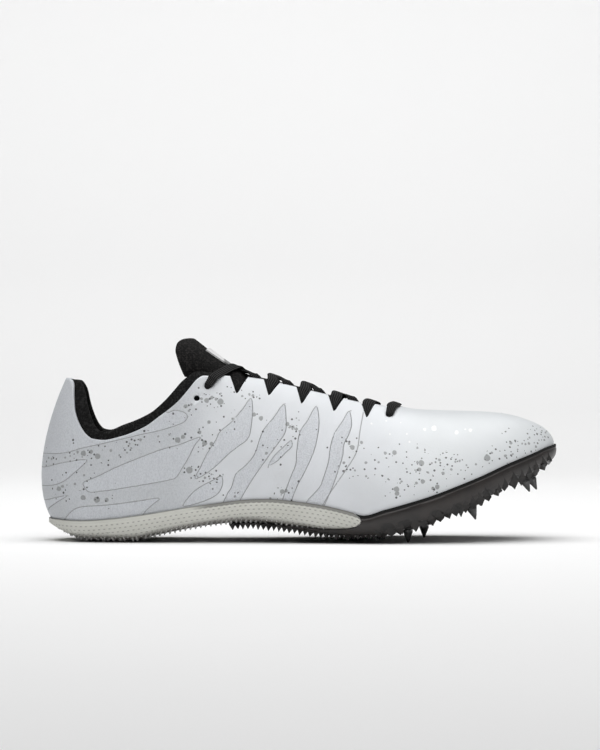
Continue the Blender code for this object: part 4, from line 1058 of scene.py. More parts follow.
# Fine lines on the side panels, in side-view millimetres: closed leaves, filled with a finer grain
LEAVES = {
    "heel_upper": ((-8.4, 39.4), (2.0, 40.0), (13.3, 42.8), (25.8, 44.3), (19.0, 37.3), (13.3, 32.8),
                   (7.9, 30.7), (1.1, 29.9), (-8.4, 29.6)),
    "heel_lower": ((-8.4, 21.1), (2.4, 22.2), (8.8, 23.9), (15.1, 25.1), (9.7, 21.5), (5.6, 18.6),
                   (2.4, 16.1), (-8.4, 15.6)),
    "collar": ((-10.2, 46.8), (1.5, 47.3), (13.3, 48.0), (24.1, 50.9), (35.0, 53.3), (47.7, 56.3),
               (54.9, 58.1), (65.7, 60.4), (75.7, 63.6), (79.1, 65.8), (79.9, 68.2), (77.5, 70.2),
               (73.0, 71.0), (68.0, 70.5), (60.3, 82.1), (42.2, 98.0), (-10.2, 98.0)),
    "heel_leaf": ((24.1, 31.3), (25.2, 33.0), (31.4, 35.5), (40.4, 39.9), (51.8, 44.7), (65.9, 50.0),
                  (75.7, 52.7), (86.5, 56.6), (83.8, 52.1), (80.2, 45.0), (76.6, 39.1), (73.5, 34.9),
                  (67.6, 33.3), (54.9, 31.0), (40.4, 28.6), (33.2, 27.7), (28.2, 27.1), (25.8, 28.3)),
    "joint_leaf": ((13.3, 11.1), (17.4, 16.5), (23.2, 19.2), (37.7, 20.4), (51.3, 22.2), (64.7, 24.0),
                   (60.3, 19.7), (56.2, 15.2), (54.9, 9.7), (13.3, 7.9)),
    "leaf_1": ((113.8, 77.1), (109.2, 71.2), (103.7, 64.9), (97.4, 59.5), (95.1, 55.0), (90.9, 48.5),
               (87.4, 41.4), (84.3, 34.6), (91.1, 38.0), (97.4, 43.2), (102.3, 47.9), (107.3, 51.8),
               (111.1, 54.5), (113.2, 57.7), (114.3, 63.6), (114.9, 71.2)),
    "leaf_2": ((131.6, 74.0), (126.3, 67.2), (120.7, 60.4), (118.2, 54.1), (116.1, 47.9), (111.9, 42.3),
               (106.0, 36.9), (103.7, 30.1), (101.2, 26.0), (98.8, 18.8), (106.9, 18.8), (108.8, 24.0),
               (115.3, 34.9), (124.5, 47.9), (130.4, 55.9), (132.7, 60.4), (132.8, 67.6)),
    "small_leaf": ((135.4, 54.8), (131.8, 51.8), (126.7, 46.8), (123.6, 41.9), (127.7, 43.7),
                   (132.7, 48.5), (136.0, 51.8)),
    "low_leaf": ((81.1, 25.1), (86.1, 29.6), (92.9, 33.3), (98.3, 35.8), (98.3, 29.6), (92.9, 24.2),
                 (78.4, 19.7)),
    "leaf_3": ((149.0, 72.9), (144.3, 65.4), (140.1, 59.0), (138.5, 48.6), (138.0, 42.3), (134.8, 34.2),
               (131.2, 24.2), (129.9, 18.8), (134.8, 18.8), (136.2, 24.2), (138.9, 31.0), (143.0, 38.7),
               (147.5, 48.6), (149.8, 57.7), (150.5, 65.8)),
    "leaf_4": ((166.8, 70.2), (162.9, 64.7), (158.9, 58.8), (156.5, 51.3), (155.6, 44.1), (153.1, 36.0),
               (150.7, 30.1), (143.9, 22.4), (143.0, 17.9), (151.1, 17.9), (156.5, 27.8), (160.6, 38.7),
               (163.1, 46.8), (163.8, 52.7), (166.5, 58.1), (168.0, 63.3)),
}
# Open strokes between the leaves
STROKES = (
    ((174.4, 69.4), (172.6, 60.4), (170.6, 49.1), (165.6, 40.5), (160.6, 33.3), (155.6, 26.0), (152.0, 20.0)),
)

# Sprayed spots, in side-view millimetres with their radii; a negative radius is a silvery print fleck whose
# shine is a painted highlight, drawn near-white
SPOTS = (
    (31.8, 46.4, 1.54), (24.1, 47.9, 1.45), (28.2, 48.8, 1.08), (21.0, 48.6, 0.81), (10.6, 28.7, 1.27),
    (12.6, 30.1, 0.81), (74.8, 55.1, 1.54), (77.5, 56.8, 1.18), (86.4, 59.3, 0.99), (97.6, 75.6, 1.63),
    (90.2, 76.2, 1.36), (92.9, 77.8, 0.90), (95.1, 76.9, 0.81), (87.4, 77.1, 0.72), (78.9, 73.2, 1.08),
    (82.0, 74.0, 0.72), (91.5, 64.7, 0.90), (115.7, 68.7, 1.08), (119.3, 66.7, 1.18), (104.2, 66.5, 0.72),
    (54.9, 55.4, 0.81), (24.1, 24.2, 1.36), (31.4, 23.1, 1.63), (36.8, 23.1, 1.08), (133.6, 63.6, 1.08),
    (136.3, 61.7, 1.08), (138.4, 61.1, 0.90), (81.1, 39.1, 1.81), (89.3, 53.6, 1.45), (92.9, 53.2, 1.08),
    (130.9, 27.8, 1.27), (132.9, 28.3, 0.90), (14.2, 45.5, 0.63), (16.9, 46.4, 0.45), (4.7, 45.0, 0.54),
    (6.5, 44.6, 0.63), (39.1, 49.5, 0.72), (43.6, 47.1, 0.54), (47.7, 48.5, 0.54), (49.9, 50.9, 0.54),
    (49.0, 53.2, 0.45), (64.4, 57.2, 0.63), (70.3, 58.1, 0.63), (126.3, 50.9, 0.54), (122.3, 48.2, 0.72),
    (114.4, 54.5, 0.63), (89.4, 35.1, 0.63), (92.9, 36.9, 0.45), (85.6, 35.5, 0.45), (92.0, 34.6, 0.54),
    (19.6, 31.5, 0.72), (24.6, 36.2, 0.63), (113.0, 79.4, 0.72), (115.0, 78.9, 0.72), (109.2, 78.5, 0.63),
    (80.7, 70.8, 0.63), (105.5, 25.1, 0.54), (124.5, 24.2, 0.54), (168.3, 51.3, 1.27), (166.5, 53.3, 0.72),
    (173.3, 53.9, 0.81), (185.9, 48.2, 0.81), (190.9, 48.5, 1.27), (175.5, 43.2, 0.81), (175.7, 36.2, 0.63),
    (205.2, 43.0, 1.54), (203.1, 43.4, 0.81), (204.0, 39.6, 1.08), (205.8, 33.3, 1.18), (202.5, 32.5, 0.81),
    (208.7, 38.0, 0.63), (191.8, 29.2, 1.54), (192.0, 27.1, 1.27), (213.5, 30.4, 1.27), (211.3, 29.6, 0.90),
    (210.8, 43.0, 0.54), (212.8, 43.4, 0.54), (214.9, 44.6, 0.72), (223.5, 43.7, 0.63), (225.7, 44.1, 0.63),
    (229.3, 41.9, 0.45), (234.5, 42.3, 0.54), (240.6, 45.5, 1.72), (243.2, 48.2, 0.63), (253.8, 53.2, 0.81),
    (250.6, 46.4, 0.81), (254.7, 47.3, 0.63), (257.4, 49.7, 0.45), (260.1, 52.7, 0.54), (261.9, 52.4, 0.54),
    (263.9, 52.7, 0.72), (266.9, 53.0, 0.36), (267.8, 50.9, 0.72), (272.5, 54.2, 0.45), (273.7, 58.1, 0.54),
    (268.7, 60.4, 0.36), (264.3, 55.9, 0.45), (163.8, 43.2, 0.72), (169.7, 39.1, 0.45), (187.3, 34.6, 0.45),
    (194.5, 33.3, 0.54), (197.2, 40.0, 0.45), (182.3, 43.5, 0.54), (216.7, 37.6, 0.81), (221.2, 39.6, 0.72),
    (203.1, 50.9, 0.54), (163.8, 38.7, 0.72), (134.8, 62.2, 0.81), (138.0, 61.3, 0.81),
    (207.4, 60.6, -0.81), (212.4, 61.1, -1.36), (224.5, 59.0, -1.08), (232.1, 60.1, -0.90),
    (229.3, 60.6, -0.45), (178.7, 63.8, -0.54), (186.8, 65.1, -0.45), (188.6, 58.1, -0.45),
    (197.7, 58.1, -0.54), (199.0, 54.1, -0.54), (194.5, 64.2, -0.36),
)
# How far the fine spray lies round a spot, and how far a face looks for a line
SPRAY_REACH_MM = 5.0
LINE_REACH_MM = 1.1
FAR_MM = 40.0


def upper_stations():
    """Stations about UPPER_STEP apart, with one at each corner of the cut edge."""
    fine = np.linspace(0.0, LAST_STATION, 4000)
    controls = last.controls(-1, fine)
    middle = (controls[:, 0] + controls[:, 3]) / 2
    along = lengths_along(middle)
    wanted = np.linspace(0.0, along[-1], int(along[-1] / UPPER_STEP))
    spread = np.interp(wanted, along, fine)
    corners = [THROAT_CUT[0][0], THROAT_FRONT]
    for start, tip, end in NOTCHES.values():
        corners += [start, *np.linspace(tip - 0.25 * (tip - start), tip + 0.25 * (end - tip), 7), end]
    corners = last.station_at(np.array(corners) / 100 * LENGTH)
    near = np.min(np.abs(spread[:, None] - corners[None, :]), axis=1)
    return np.sort(np.concatenate([spread[near > 0.012], corners]))


def punch(mesh, centre, radius):
    """Opens a round hole in a sheet: the faces in it go, and the edge is drawn to the circle."""
    work = bmesh.new()
    work.from_mesh(mesh)
    centre = Vector(centre) - Vector((HEEL_X, 0.0, 0.0))
    inside = [face for face in work.faces if (face.calc_center_median() - centre).length < radius]
    bmesh.ops.delete(work, geom=inside, context="FACES")
    for vert in work.verts:
        if vert.is_boundary and (vert.co - centre).length < 2 * radius:
            vert.co = centre + (vert.co - centre).normalized() * radius
    work.to_mesh(mesh)
    work.free()


def parts_a_millimetre(a, b):
    return max(int(np.linalg.norm(b - a)), 1)


def mark_nearest(centres, found, best, starts, ends, turned):
    """Puts the line of the nearest of these strokes' parts in found, where it is nearer than best."""
    along = ends - starts
    length = np.linalg.norm(along, axis=1)
    normals = np.column_stack([along[:, 1], -along[:, 0]]) / length[:, None] * turned
    for number in range(len(starts)):
        reach = LINE_REACH_MM + length[number]
        near = np.flatnonzero(np.abs(centres - starts[number]).max(axis=1) < reach)
        offset = centres[near] - starts[number]
        t = np.clip(offset @ along[number] / length[number] ** 2, 0.0, 1.0)
        distance = np.linalg.norm(offset - t[:, None] * along[number], axis=1)
        nearer = near[distance < best[near]]
        best[near] = np.minimum(best[near], distance)
        found[nearer] = (*normals[number], normals[number] @ starts[number])


def inside_outline(centres, outline):
    crossings = np.zeros(len(centres), int)
    for a, b in zip(outline, np.roll(outline, -1, axis=0)):
        spans = (a[1] > centres[:, 1]) != (b[1] > centres[:, 1])
        if spans.any():
            x_at = a[0] + (centres[:, 1] - a[1]) / (b[1] - a[1]) * (b[0] - a[0])
            crossings += spans & (centres[:, 0] < x_at)
    return crossings % 2 == 1


def nearest_lines(centres):
    """For each place, the line of the nearest panel edge as (nx, nz, distance): nx X + nz Z - distance is
    negative inside a leaf. A place with no edge near gets a far line of the same sign."""
    found = np.zeros((len(centres), 3))
    best = np.full(len(centres), LINE_REACH_MM)
    inside = np.zeros(len(centres), bool)
    for leaf in LEAVES.values():
        outline = closed_curve(np.array(leaf), parts_a_millimetre)
        following = np.roll(outline, -1, axis=0)
        area = np.sum(outline[:, 0] * following[:, 1] - following[:, 0] * outline[:, 1])
        mark_nearest(centres, found, best, outline, following, np.sign(area))
        inside |= inside_outline(centres, outline)
    far = best >= LINE_REACH_MM
    found[far] = (0.0, 0.0, -FAR_MM)
    found[far & inside] = (0.0, 0.0, FAR_MM)
    return found


def nearest_strokes(centres):
    found = np.tile([0.0, 0.0, FAR_MM], (len(centres), 1))
    best = np.full(len(centres), LINE_REACH_MM)
    for stroke in STROKES:
        line = open_curve(np.array(stroke), parts_a_millimetre)
        mark_nearest(centres, found, best, line[:-1], line[1:], 1.0)
    return found


def nearest_spots(centres):
    spots = np.array(SPOTS)
    best = np.full(len(centres), np.inf)
    nearest = np.zeros(len(centres), int)
    for number, (x, z, radius) in enumerate(spots):
        edge = np.hypot(centres[:, 0] - x, centres[:, 1] - z) - abs(radius)
        nearer = edge < best
        best[nearer] = edge[nearer]
        nearest[nearer] = number
    return spots[nearest]


def spray(centres):
    """How thick the fine spray lies, from the spots round about."""
    thick = np.zeros(len(centres))
    for x, z, radius in SPOTS:
        if radius > 0:
            distance = np.hypot(centres[:, 0] - x, centres[:, 1] - z)
            thick += np.exp(-((distance / SPRAY_REACH_MM) ** 2))
    return np.clip(thick / 2.2, 0.0, 1.0)


def eyelet(side, place, below):
    """Centre and normal of a hole that lies this far down the column from the cut edge."""
    station = last.station_at(place / 100 * LENGTH)
    top = cut_share(side, station, notched=False)
    share = top - below / last.length(side, station)
    return last.point(side, station, share)[0], last.normal(side, station, share)[0]


def build_upper():
    stations = upper_stations()
    shares = np.linspace(0.0, 1.0, UPPER_ROWS)
    sheets = []
    for side in (-1, 1):
        top = cut_share(side, stations)
        sheets.append(np.moveaxis(np.array([last.point(side, stations, top * v) for v in shares]), 0, 1))
    columns = np.concatenate([sheets[0], sheets[1][-2:0:-1]])
    count = len(columns)
    faces = []
    for column in range(count):
        beside = (column + 1) % count
        for row in range(UPPER_ROWS - 1):
            a, b = column * UPPER_ROWS + row, beside * UPPER_ROWS + row
            faces.append((a, b, b + 1, a + 1))
    upper = mesh_piece("upper_shell", columns.reshape(-1, 3), faces)
    for side in (-1, 1):
        for place, below in (SPARE_HOLE, TOP_EYELET, FRONT_EYELET):
            punch(upper.data, eyelet(side, place, below)[0], EYELET_RADIUS)
    centres = side_mm(face_centres(upper.data))
    face_attribute(upper.data, "panel_edge", nearest_lines(centres))
    face_attribute(upper.data, "stroke", nearest_strokes(centres))
    face_attribute(upper.data, "spot", nearest_spots(centres))
    point_attribute(upper.data, "spray", spray(side_mm(places(upper.data))))
    wall = upper.modifiers.new("wall", "SOLIDIFY")
    wall.thickness = UPPER_WALL
    wall.offset = -1.0
    wall.use_quality_normals = True
    wall.material_offset = 1
    wall.material_offset_rim = 0
    upper.data.materials.append(upper_look())
    upper.data.materials.append(inside_look())
    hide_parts("upper")
    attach(upper, "root")


# The sole

SOLE_COLUMNS = 150
WALL_POINTS = 16
POINT_BLOCK = 4000
NUB_HEIGHT = 0.0013
NUB_PITCH = 0.0032
NUB_RADIUS = 0.0015
NUB_TOP = 0.0066
NUB_START = 0.012
NUB_END = 0.170
NUB_LINES = (7, 9, 11, 13, 15, 17, 19)
TREAD_START = 0.104
TREAD_END = 0.186
TREAD_PITCH = 0.0028
TREAD_HEIGHT = 0.0030
TREAD_SINK = 0.0006
TREAD_RADIUS = 0.74 * TREAD_PITCH
CLAW_REACH = 0.0075
CLAW_MIDDLE = 0.0012
CLAW_OUT = 0.0002
CLAW_SHAPE = (1.25, 0.40, 0.25)

# Tips of the claws along the plate's edge, in side-view millimetres, with the foot's radius and how far
# behind the tip the foot is
CLAWS = (
    (183.4, 3.4, 2.0, 1.2), (189.1, 4.0, 3.0, 1.4), (195.1, 5.1, 2.6, 1.2), (202.2, 6.3, 2.6, 0.8),
    (206.0, 8.4, 2.4, 1.0), (211.3, 9.4, 2.6, 1.4), (215.4, 11.5, 2.9, 1.2), (219.4, 14.3, 2.2, 0.8),
    (224.0, 14.4, 2.9, 1.4), (226.4, 13.9, 1.8, 0.6), (229.1, 16.0, 2.3, 0.8), (233.4, 18.6, 2.6, 1.2),
    (237.4, 19.7, 2.7, 1.3), (241.7, 22.1, 2.7, 1.5), (246.7, 25.8, 2.3, 0.9), (250.2, 27.4, 2.3, 0.9),
    (256.0, 28.1, 3.0, 1.6), (259.7, 29.9, 2.2, 0.8), (264.2, 33.0, 2.6, 1.2), (267.9, 34.6, 2.3, 0.9),
    (272.9, 38.1, 2.4, 1.4), (275.9, 40.3, 2.0, 1.0),
)
# Pockets between them, where the wall falls back: centre and radius in side-view millimetres; the plate is
# painted darker in them as shade
POCKETS = (
    (187.2, 8.4, 3.4), (196.4, 9.6, 3.9), (205.9, 10.4, 2.4), (213.4, 15.0, 3.8), (224.4, 18.6, 3.6),
    (240.4, 26.4, 3.0), (256.9, 33.6, 3.2), (268.5, 39.4, 2.4),
)


def sole_half_loop(side, station, lift=0.0):
    """One side of a section of the sole: from the middle of the cup's floor up its wall, over the rim, and
    down the outside to the middle of the bottom. lift raises the bottom."""
    column = last.controls(side, station)[0]
    foot_x = column[0, 0]
    floor, rim = float(profile(foot_x, "floor")), float(profile(foot_x, "rim"))
    outward = column[1, :2] - column[0, :2]
    outward = np.append(outward / np.linalg.norm(outward), 0.0)
    points = []
    for height in np.linspace(floor, rim, 4):
        share = last.share_where(side, station, lambda p: p[:, 2] > height)
        point = last.point(side, station, share)[0]
        point[2] = height
        points.append(point + outward * CLEARANCE)
    lip = points[-1] + outward * RIM_WIDTH
    band = lip - np.array([0.0, 0.0, RIM_BAND])
    step = band + outward * RIM_STEP - np.array([0.0, 0.0, RIM_STEP])
    points += [lip, band, step]
    across = BALL_WIDTH / 100
    inset, under = wall_share(station, "inset") * across, wall_share(station, "under") * across
    edge = step - outward * (inset + 0.5 * lift)
    edge[2] = float(profile(edge[0], "bottom")) + lift
    fall = step[2] - edge[2]
    drop = wall_share(station, "drop") * fall
    wall_handle = step + outward * wall_share(station, "out") * across - np.array([0.0, 0.0, drop])
    under_handle = edge + outward * under
    for v in np.linspace(0.0, 1.0, WALL_POINTS)[1:]:
        points.append(
            (1 - v) ** 3 * step + 3 * v * (1 - v) ** 2 * wall_handle
            + 3 * v * v * (1 - v) * under_handle + v**3 * edge
        )
    return np.array(points)


def sole_loops(lift=0.0):
    loops = []
    for station in LAST_STATION * np.linspace(0.0, 1.0, SOLE_COLUMNS):
        outer, inner = sole_half_loop(-1, station, lift), sole_half_loop(1, station, lift)
        loops.append(np.concatenate([outer, inner[::-1]]))
    return np.array(loops)


def wedge_outline(grow=0.0):
    """Side view of the room that the wedge takes, grown along the edge that it shares with the plate."""
    edge = np.array(WEDGE_EDGE) / 100 * np.array([LENGTH, TOE_RISE])
    along = np.gradient(edge, axis=0)
    away = np.column_stack([along[:, 1], -along[:, 0]]) / np.linalg.norm(along, axis=1)[:, None]
    edge = edge + away * grow
    behind, above, below = -0.2 * LENGTH, 2 * TOE_RISE, -TOE_RISE
    return [(behind, below), (edge[0, 0], below), *edge, (edge[-1, 0], above), (behind, above)]


def mark_sole(obj, loops):
    """Puts on each point, in millimetres, its way round the sole's outline and its heights from the rim and
    the bottom."""
    outline = np.concatenate([loops[::-1, 6], loops[1:, -7]])
    reach = lengths_along(outline)
    points = places(obj.data) + np.array([HEEL_X, 0.0, 0.0])
    along = np.zeros(len(points))
    for start in range(0, len(points), POINT_BLOCK):
        block = points[start:start + POINT_BLOCK]
        gap = np.linalg.norm(block[:, None, :2] - outline[None, :, :2], axis=2)
        along[start:start + POINT_BLOCK] = reach[np.argmin(gap, axis=1)]
    point_attribute(obj.data, "sole_along", along / MM)
    point_attribute(obj.data, "sole_below", (profile(points[:, 0], "rim") - points[:, 2]) / MM)
    point_attribute(obj.data, "sole_above", (points[:, 2] - profile(points[:, 0], "bottom")) / MM)


def build_sole():
    raised, loops = sole_loops(NUB_HEIGHT), sole_loops()
    wedge = loft("wedge_body", raised)
    cut(wedge, [("INTERSECT", side_prism("wedge_room", wedge_outline()))])
    mark_sole(wedge, raised)
    wedge.data.materials.append(wedge_look())
    plate = loft("plate_shell", loops)
    cut(plate, [("DIFFERENCE", side_prism("wedge_gap", wedge_outline(CLEARANCE)))])
    mark_sole(plate, loops)
    plate.data.materials.append(plate_look())
    for piece, node, slot in ((wedge, "heel_wedge", "wedge"), (plate, "spike_plate", "plate")):
        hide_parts(node)
        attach(piece, "root")
    build_nubs(loops)
    build_teeth()
    build_claws(loops)
    build_tread()


def cones(name, entries, sides, look, twist=0.0):
    """One mesh of small pyramids, from each foot's place, tip's place and foot radius."""
    points, faces = [], []
    for number, (foot, tip, radius) in enumerate(entries):
        foot, tip = Vector(foot), Vector(tip)
        turn = (tip - foot).to_track_quat("Z", "Y")
        first = len(points)
        for k in range(sides):
            angle = 2 * math.pi * (k + 0.5) / sides + twist * number
            points.append(foot + turn @ Vector((radius * math.cos(angle), radius * math.sin(angle), 0.0)))
        points.append(tip)
        faces += [(first + k, first + (k + 1) % sides, first + sides) for k in range(sides)]
        faces.append(tuple(first + k for k in reversed(range(sides))))
    piece = mesh_piece(name, [tuple(p) for p in points], faces, weld=0, sharp=20)
    piece.data.materials.append(look)
    return piece


def build_nubs(loops):
    """Rows of small rubber pyramids under the wedge and round its lower edge; their tips lie on the solid."""
    entries = []
    edge = np.array(WEDGE_EDGE) / 100 * np.array([LENGTH, TOE_RISE])

    def inside_wedge(x, z):
        order = np.argsort(edge[:, 1])
        return x < np.interp(z, edge[order, 1], edge[order, 0]) - NUB_RADIUS

    stations = np.linspace(0.5, LAST_STATION - 0.5, 80)
    middle = len(loops[0]) // 2
    rows = [int(station / LAST_STATION * (SOLE_COLUMNS - 1)) for station in stations]
    outer, inner = loops[rows, middle - 1], loops[rows, middle]
    for row, x in enumerate(np.arange(NUB_START, NUB_END, NUB_PITCH * math.sqrt(0.75))):
        low = float(np.interp(x, outer[:, 0], outer[:, 1])) + 0.4 * NUB_PITCH
        high = float(np.interp(x, inner[:, 0], inner[:, 1])) - 0.4 * NUB_PITCH
        z = float(profile(x, "bottom"))
        if high - low < NUB_PITCH or not inside_wedge(x, z):
            continue
        count = int((high - low) / NUB_PITCH)
        for y in np.linspace(low, high, count + 1 + row % 2):
            entries.append(((x, y, z + 2.0 * NUB_HEIGHT), (x, y, z + 0.00005), NUB_RADIUS))
    for column in NUB_LINES:
        for mirror in (False, True):
            line = loops[:, -1 - column] if mirror else loops[:, column]
            deeper = loops[:, -2 - column] if mirror else loops[:, column + 1]
            gaps = lengths_along(line)
            offset = 0.5 * (column // 2 % 2)
            for at in np.arange(offset * NUB_PITCH, gaps[-1], NUB_PITCH):
                number = int(np.searchsorted(gaps, at).clip(1, len(line) - 2))
                tip = line[number]
                along = line[number + 1] - line[number - 1]
                down = deeper[number] - line[number]
                normal = np.cross(down, along) if mirror else np.cross(along, down)
                normal /= np.linalg.norm(normal)
                if normal[2] > 0:
                    normal = -normal
                reach_above = tip[2] - float(profile(tip[0], "bottom"))
                if reach_above > NUB_TOP or normal[2] > -0.05 or not inside_wedge(tip[0], tip[2]):
                    continue
                entries.append((tip - normal * 2.0 * NUB_HEIGHT, tip, NUB_RADIUS))
    nubs = cones("wedge_nubs", entries, 4, rubber_look())
    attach(nubs, "root")


def sole_half(x):
    """Outer and inner edge of the sole's bottom at a place along the shoe."""
    stations = np.linspace(0.5, LAST_STATION - 0.5, 60)
    edges = []
    for side in (-1, 1):
        foot = last.controls(side, stations)[:, 0]
        edges.append(float(np.interp(x, foot[:, 0], foot[:, 1])))
    return edges


def bottom_frame(x, y):
    """Turn and place whose z axis points out of the sole's bottom."""
    slope = float(profile(x + 0.002, "bottom") - profile(x - 0.002, "bottom")) / 0.004
    down = Vector((slope, 0.0, -1.0)).normalized()
    turn = down.to_track_quat("Z", "Y").to_matrix().to_4x4()
    return Matrix.Translation((x, y, float(profile(x, "bottom")))) @ turn


def spike_seats():
    seats = []
    for place, share, boss in SPIKES.values():
        x = place / 100 * LENGTH
        outer, inner = sole_half(x)
        seats.append((bottom_frame(x, -share * outer if share < 0 else share * inner), boss))
    return seats


def build_teeth():
    """Blunt teeth in rows under the plate, and the bosses that the pins sit in."""
    seats = spike_seats()
    entries = []
    for row in range(TOOTH_ROWS):
        x = (TOOTH_START + (TOOTH_END - TOOTH_START) * row / (TOOTH_ROWS - 1)) / 100 * LENGTH
        outer, inner = sole_half(x)
        outer, inner = outer * 0.86, inner * 0.86
        count = 5 if row % 2 else 4
        if inner - outer < 0.055:
            count -= 1
        if inner - outer < 0.040:
            count -= 1
        for number in range(count):
            frame = bottom_frame(x, outer + (inner - outer) * number / (count - 1))
            if min((frame.translation - seat.translation).length for seat, _ in seats) > 2.0 * BOSS_RADIUS:
                foot = frame @ Vector((0.0, 0.0, -TOOTH_SINK))
                tip = frame @ Vector((0.0, 0.0, TOOTH_HEIGHT))
                entries.append((foot, tip, TOOTH_RADIUS))
    look = claw_look()
    teeth = cones("plate_claws", entries, 5, look, twist=0.9)
    work = bmesh.new()
    for seat, boss in seats:
        if boss is None:
            drop = seat.translation.z - SPIKE_LENGTH - CLEARANCE
            down = Vector((0, 0, -1)).to_track_quat("Z", "Y").to_matrix().to_4x4()
            seat = Matrix.Translation(seat.translation) @ down
        else:
            drop = boss / 100 * LENGTH
        bmesh.ops.create_cone(
            work, cap_ends=True, segments=24, radius1=BOSS_RADIUS + BOSS_FLARE, radius2=BOSS_RADIUS,
            depth=drop + BOSS_ROOT, matrix=seat @ Matrix.Translation((0.0, 0.0, (drop - BOSS_ROOT) / 2)),
        )
    bmesh.ops.translate(work, verts=work.verts, vec=(-HEEL_X, 0.0, 0.0))
    mesh = bpy.data.meshes.new("plate_bosses")
    work.to_mesh(mesh)
    work.free()
    bosses = bpy.data.objects.new("plate_bosses", mesh)
    SHOE.objects.link(bosses)
    edge = bosses.modifiers.new("edge", "BEVEL")
    edge.width = 0.0003
    edge.segments = 2
    mesh.materials.append(look)
    for piece in (teeth, bosses):
        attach(piece, "root")


def wall_place(loops, x, above, inner):
    """A place on the sole's outer or inner wall, by its x and its height over the bottom's edge."""
    half = loops[:, loops.shape[1] // 2:][:, ::-1] if inner else loops[:, :loops.shape[1] // 2]
    wall = half[:, 6:].reshape(-1, 3)
    edge = half[:, -1]
    bottom = np.interp(x, edge[:, 0], edge[:, 2])
    gap = np.hypot(wall[:, 0] - x, wall[:, 2] - bottom - above)
    return wall[np.argmin(gap)].copy()


def build_claws(loops):
    """The row of large leaning claws that the plate's wall runs down into, as the outer side shows them; the
    inner side has the same row. Each is a long facetted crystal half sunk in the wall."""
    points, faces = [], []
    sides = 6
    wide, thick, skew = CLAW_SHAPE
    for inner in (False, True):
        outward = 1.0 if inner else -1.0
        for number, (x_mm, z_mm, size, back) in enumerate(CLAWS):
            x = x_mm * MM
            top = wall_place(loops, x - 1.6 * back * MM, CLAW_REACH, inner)
            middle = wall_place(loops, x - back * MM, CLAW_MIDDLE, inner)
            edge = wall_place(loops, x, 0.0, inner)
            tip = np.array([x, edge[1] + outward * CLAW_OUT, z_mm * MM])
            first = len(points)
            for k in range(sides):
                angle = 2 * math.pi * k / sides + 0.8 * number
                side = thick * outward * math.sin(angle)
                ring = np.array([wide * math.cos(angle), side, skew * math.sin(2 * angle)])
                points.append(middle + ring * size * MM)
            points += [top, tip]
            for k in range(sides):
                beside = first + (k + 1) % sides
                faces += [(first + k, beside, first + sides), (beside, first + k, first + sides + 1)]
    claws = mesh_piece("plate_edge_claws", points, faces, weld=0, sharp=15)
    claws.data.materials.append(claw_look())
    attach(claws, "root")


def build_tread():
    """Small teeth under the plate's middle, which show as a ragged dark edge below the wedge."""
    entries = []
    for row, x in enumerate(np.arange(TREAD_START, TREAD_END, TREAD_PITCH)):
        outer, inner = (edge * 0.90 for edge in sole_half(x))
        count = int((inner - outer) / TREAD_PITCH)
        for number in range(count):
            y = outer + (inner - outer) * (number + 0.5 * (row % 2)) / count
            frame = bottom_frame(x, y)
            deep = TREAD_HEIGHT * (0.72 + 0.28 * math.sin(2.9 * row + 1.7 * number))
            foot, tip = frame @ Vector((0.0, 0.0, -TREAD_SINK)), frame @ Vector((0.0, 0.0, deep))
            entries.append((foot, tip, TREAD_RADIUS))
    tread = cones("plate_tread", entries, 4, claw_look(), twist=0.5)
    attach(tread, "root")


# Soft pieces

LINING_ROWS = 14
LABEL_PLACE = (91.4, 105.4)


def dense(grid, rows, columns):
    """The same surface as a grid of points, with more rows and columns."""
    grid = np.asarray(grid)
    for axis, count in ((0, rows), (1, columns)):
        grid = np.moveaxis(grid, axis, 0)
        given, wanted = np.arange(len(grid)), np.linspace(0, len(grid) - 1, count)
        flat = grid.reshape(len(grid), -1)
        made = np.column_stack([smooth_line(given, flat[:, k], wanted) for k in range(flat.shape[1])])
        grid = np.moveaxis(made.reshape(count, *grid.shape[1:]), 0, axis)
    return grid


def build_lining():
    """Padded cuff that runs round inside the collar and stands a little above it."""
    front = float(last.station_at(LINING_CUT[-1][0] / 100 * LENGTH)[0])
    stations = np.linspace(0.0, front, 110)
    place = top_place(stations)
    height = collar_height(LINING_CUT, place)
    keep = np.interp(place, [row[0] for row in LINING_CUT], [row[3] for row in LINING_CUT])
    shares = np.linspace(0.0, 1.0, LINING_ROWS) ** 0.75
    edge_keep = np.interp(shares, (0.0, 0.12, 0.3, 0.85, 0.95, 1.0), (0.5, 0.85, 1.0, 1.0, 0.9, 0.45))
    inset = UPPER_WALL + 1.6 * CLEARANCE
    sheets = []
    for side in (-1, 1):
        top = last.share_where(side, stations, lambda p: p[:, 2] > height)
        length = last.length(side, stations)
        rows = []
        for share in shares:
            v = top - (1 - share) * LINING_DEPTH / length
            rows.append(last.point(side, stations, v) - last.normal(side, stations, v) * inset)
        sheets.append(np.moveaxis(np.array(rows), 0, 1))
    grid = np.concatenate([sheets[0][::-1], sheets[1][1:]])
    keep = np.concatenate([keep[::-1], keep[1:]])
    lining = slab("collar_padding", grid, LINING_THICKNESS * keep[:, None] * edge_keep)
    lining.data.materials.append(knit_look("collar_knit", grey(19), grey(3), grey(46), 0.0013, sheen=0.0))
    finish_soft(lining, "collar_lining")


def finish_soft(piece, node):
    round_off = piece.modifiers.new("round", "SUBSURF")
    round_off.levels = round_off.render_levels = 1
    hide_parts(node)
    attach(piece, "root")


